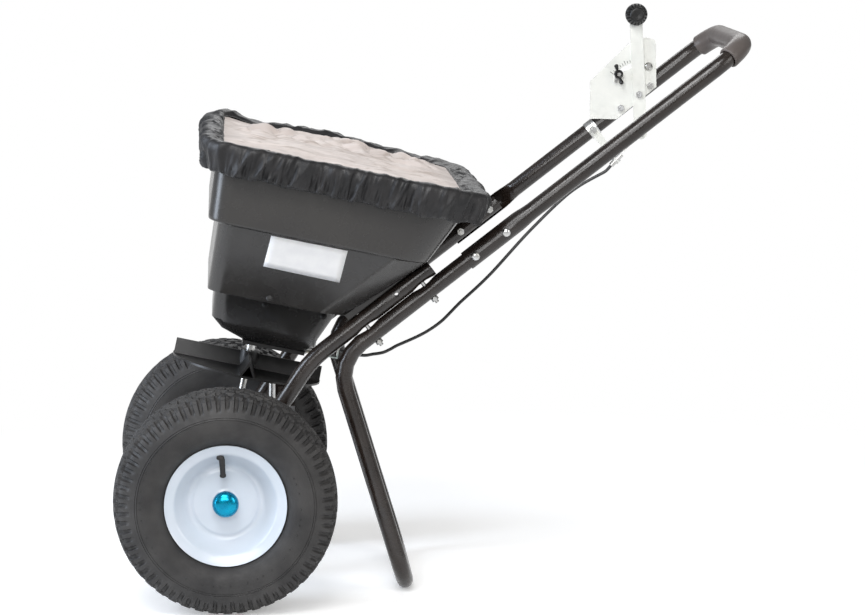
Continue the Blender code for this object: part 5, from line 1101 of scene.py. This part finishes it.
def make_scale():
    """Plain tick marks beside the gauge's slot, with no figures."""
    bm = bmesh.new()
    face = PLATE_Y - PLATE_T / 2.0 - TICK_T
    for i in range(TICKS):
        angle = TICK_START + TICK_STEP * i
        inner = STOP_R + TICK_GAP
        outer = inner + (TICK_LONG if i % 3 == 0 else TICK_SHORT)
        across = Vector((-math.sin(angle), 0.0, math.cos(angle))) * TICK_HALF_W
        ends = ((inner, -1.0), (inner, 1.0), (outer, 1.0), (outer, -1.0))
        corners = [control_point(reach, angle, face) + across * side for reach, side in ends]
        raised = [c - ACROSS * TICK_T for c in corners]
        bm.from_mesh(loft("tick", [corners, raised], caps=True))
    piece("gauge_ticks", from_bmesh(bm, "gauge_ticks", 30.0), RUBBER, "frame")


make_knob()
make_wing_nut()
make_scale()


# Joint bolts: domed heads and hexagon nuts in place of the plain solids

HEAD_R = 0.0066
HEAD_T = 0.0026
NUT_R = 0.0055
NUT_T = 0.0048
THREAD_END = 0.0030
SADDLE_OUT = 0.01439


def bolt_mesh(name, matrix, grip):
    """Domed head on z = 0, shank down through the grip, hexagon nut and the thread's end."""
    end = -grip - NUT_T - THREAD_END
    profile = [
        (0.0, HEAD_T * 1.25), (HEAD_R * 0.35, HEAD_T * 1.18), (HEAD_R * 0.65, HEAD_T * 0.95),
        (HEAD_R * 0.88, HEAD_T * 0.55), (HEAD_R * 0.98, HEAD_T * 0.22), (HEAD_R, 0.0),
        (BOLT_R, 0.0), (BOLT_R, -grip), (BOLT_R, end + 0.0004), (BOLT_R - 0.0004, end), (0.0, end),
    ]
    bm = bmesh.new()
    bm.from_mesh(turned(name, profile, 24, matrix))
    rings = []
    for shrink, height in ((0.93, 0.0), (1.0, 0.0005), (1.0, NUT_T - 0.0005), (0.93, NUT_T)):
        ring = []
        for a in turns(24):
            flat = math.cos(math.pi / 6.0) / math.cos((a % (math.pi / 3.0)) - math.pi / 6.0)
            radius = NUT_R * 1.1 * flat * shrink
            ring.append(matrix @ Vector((radius * math.cos(a), radius * math.sin(a), -grip - height)))
        rings.append(ring)
    bm.from_mesh(loft(name + "_nut", rings, caps=True))
    return from_bmesh(bm, name, 34.0)


def make_bolts():
    out = FRAME_HALF_Y + SADDLE_OUT + CLEAR
    for label, sign in SIDES:
        for place, u in (("lower", 0.4722), ("upper", 0.5298)):
            name = f"joint_bolt_{label}_{place}"
            matrix = HANDLE @ facing((u, sign * out, 0.0), sign)
            mesh = bolt_mesh("fine_" + name, matrix, SADDLE_OUT + TUBE_R + 2.0 * CLEAR)
            piece("fine_" + name, mesh, ZINC, "frame", "zinc", (name,))


make_bolts()


# Control cable, on its route from the adjuster to the gate

CABLE_R = 0.0025
CABLE_SPACING = 0.0160
CABLE_ROUTE = (
    (0.2968, 0.1365, 0.6191), (0.2886, 0.1365, 0.6104), (0.2330, 0.1330, 0.5780),
    (0.1685, 0.1250, 0.5185), (0.1030, 0.1100, 0.4500), (0.0534, 0.0930, 0.4070),
    (0.0271, 0.0800, 0.3830), (0.0011, 0.0620, 0.3680), (-0.0240, 0.0420, 0.3590),
    (-0.0480, 0.0220, 0.3520), (-0.0700, 0.0060, 0.3440), (-0.1025, 0.0, 0.3410),
    (-0.1377, 0.0, 0.3485),
)


def make_cable():
    path = rounded_curve(CABLE_ROUTE[:-1], CABLE_SPACING)
    path.append(Vector(CABLE_ROUTE[-1]))
    fine = rounded_curve(path, CABLE_SPACING / 5.0)
    rings = [path_ring(fine, i, ACROSS, CABLE_R, 16) for i in range(len(fine))]
    mesh = loft("control_cable", rings, caps=True, degrees=40.0)
    cable = piece("control_cable", mesh, CABLE, "frame", "cable_black", ("cable_sheath",))


make_cable()


# Finishes of the CAD pieces that stay

def smoothing_group():
    """Modifier nodes that join a CAD node's facets and shade all but its edges smooth."""
    group = bpy.data.node_groups.new("smooth_facets", "GeometryNodeTree")
    for way in ("INPUT", "OUTPUT"):
        group.interface.new_socket(name="Geometry", in_out=way, socket_type="NodeSocketGeometry")
    angle = add_node(group, "GeometryNodeInputMeshEdgeAngle", {}).outputs["Unsigned Angle"]
    steep = add_node(group, "FunctionNodeCompare", {"A": angle, "B": math.radians(35.0)},
                     data_type="FLOAT", operation="GREATER_THAN").outputs["Result"]
    steps = (
        ("GeometryNodeMergeByDistance", {"Distance": 0.00001}, {}),
        ("GeometryNodeRemoveAttribute", {"Name": "custom_normal"}, {}),
        ("GeometryNodeSetShadeSmooth", {}, {"domain": "FACE"}),
        ("GeometryNodeSetShadeSmooth", {"Selection": steep, "Shade Smooth": False},
         {"domain": "EDGE"}),
    )
    shape = add_node(group, "NodeGroupInput", {}).outputs[0]
    for kind, values, settings in steps:
        node = add_node(group, kind, {"Geometry": shape, **values}, **settings)
        shape = node.outputs["Geometry"]
    add_node(group, "NodeGroupOutput", {0: shape})
    return group


SMOOTHING = smoothing_group()


def finish_nodes(material, names):
    for name in names:
        obj = NODES[name]
        obj.data.materials.clear()
        obj.data.materials.append(material)
        obj.modifiers.new("smooth_facets", "NODES").node_group = SMOOTHING


def pairs(*names):
    return [f"{name}_{label}" for name in names for label, _ in SIDES]


OTHER_FINISHES = (
    (POWDER, ["leg_stand", "handle", "cross_brace", *pairs("frame_tube", "gear_case")]),
    (PALE_ZINC, ["gauge_plate", "lever", "cable_strip"]),
    (YELLOW_ZINC, ["cable_anchor"]),
    (PLASTIC, ["impeller", "gate_guide"]),
    (NYLON, ["shaft_bush", *pairs("axle_bush")]),
)

# Every other node that no piece replaces is plated with bright zinc
in_zinc = set(NODES) - REPLACED
for material, names in OTHER_FINISHES:
    finish_nodes(material, names)
    in_zinc -= set(names)
finish_nodes(ZINC, sorted(in_zinc))


# Floor, backdrop and lamps

FLOOR_WHITE = 0.82
FLOOR_GLOW = 0.32
FLOOR_FADE = (0.55, 1.50)
WORLD_LIGHT = 0.30


def backdrop_share(look):
    """1 for the rays that see the backdrop itself: from the camera, in gloss or through glass."""
    path = look.node("ShaderNodeLightPath", {}).outputs
    share = look.math("MAXIMUM", path["Is Camera Ray"], path["Is Glossy Ray"])
    return look.math("MAXIMUM", share, path["Is Transmission Ray"])


def make_floor():
    bm = bmesh.new()
    bmesh.ops.create_grid(bm, x_segments=8, y_segments=8, size=12.0)
    mesh = from_bmesh(bm, "floor")
    look = Look("white_floor", (FLOOR_WHITE,) * 3, 0.9, specular=0.0)
    place = look.node("ShaderNodeNewGeometry", {}).outputs["Position"]
    reach = look.node("ShaderNodeVectorMath", {0: place}, operation="LENGTH").outputs["Value"]
    far = look.spread(reach, 0.0, 1.0, *FLOOR_FADE)
    level = look.spread(far, FLOOR_GLOW, 1.0, 0.0, 1.0)
    feed(look.shader, {
        "Base Color": look.mixed(far, (FLOOR_WHITE,) * 3, (0.0, 0.0, 0.0)),
        "Emission Color": (1.0, 1.0, 1.0, 1.0),
        "Emission Strength": look.math("MULTIPLY", backdrop_share(look), level),
    })
    mesh.materials.append(look.material)
    new_object("floor", mesh)


def make_world():
    world = bpy.data.worlds.new("studio")
    bpy.context.scene.world = world
    world.use_nodes = True
    seen = add_node(world.node_tree, "ShaderNodeLightPath", {}).outputs["Is Camera Ray"]
    values = {"To Min": WORLD_LIGHT, "To Max": 1.0, "Value": seen}
    level = add_node(world.node_tree, "ShaderNodeMapRange", values).outputs["Result"]
    background = world.node_tree.nodes["Background"]
    feed(background, {"Color": (1.0, 1.0, 1.0, 1.0), "Strength": level})


def add_lamp(name, place, target, size, power, colour=(1.0, 1.0, 1.0)):
    data = bpy.data.lights.new(name, "AREA")
    data.shape = "RECTANGLE"
    data.size, data.size_y = size
    data.energy = power
    data.color = colour
    lamp = new_object(name, data)
    lamp.location = place
    direction = Vector(target) - Vector(place)
    lamp.rotation_euler = direction.to_track_quat("-Z", "Y").to_euler()


make_floor()
make_world()
add_lamp("key", (-0.8, -2.6, 3.4), (0.0, 0.0, 0.4), (2.0, 1.4), 84.0)
add_lamp("fill", (2.6, -2.2, 1.6), (0.0, 0.0, 0.4), (1.4, 1.8), 26.0, (1.0, 0.985, 0.96))
add_lamp("side", (-2.5, -0.5, 1.2), (-0.3, 0.0, 0.4), (0.9, 2.4), 66.0, (0.78, 0.87, 1.0))
add_lamp("front", (-0.7, -4.2, 2.0), (0.0, 0.0, 0.4), (2.6, 1.6), 70.0)
add_lamp("back", (0.4, 2.8, 2.6), (0.0, 0.0, 0.5), (2.4, 1.4), 36.0)

bpy.context.scene.view_settings.view_transform = "Standard"
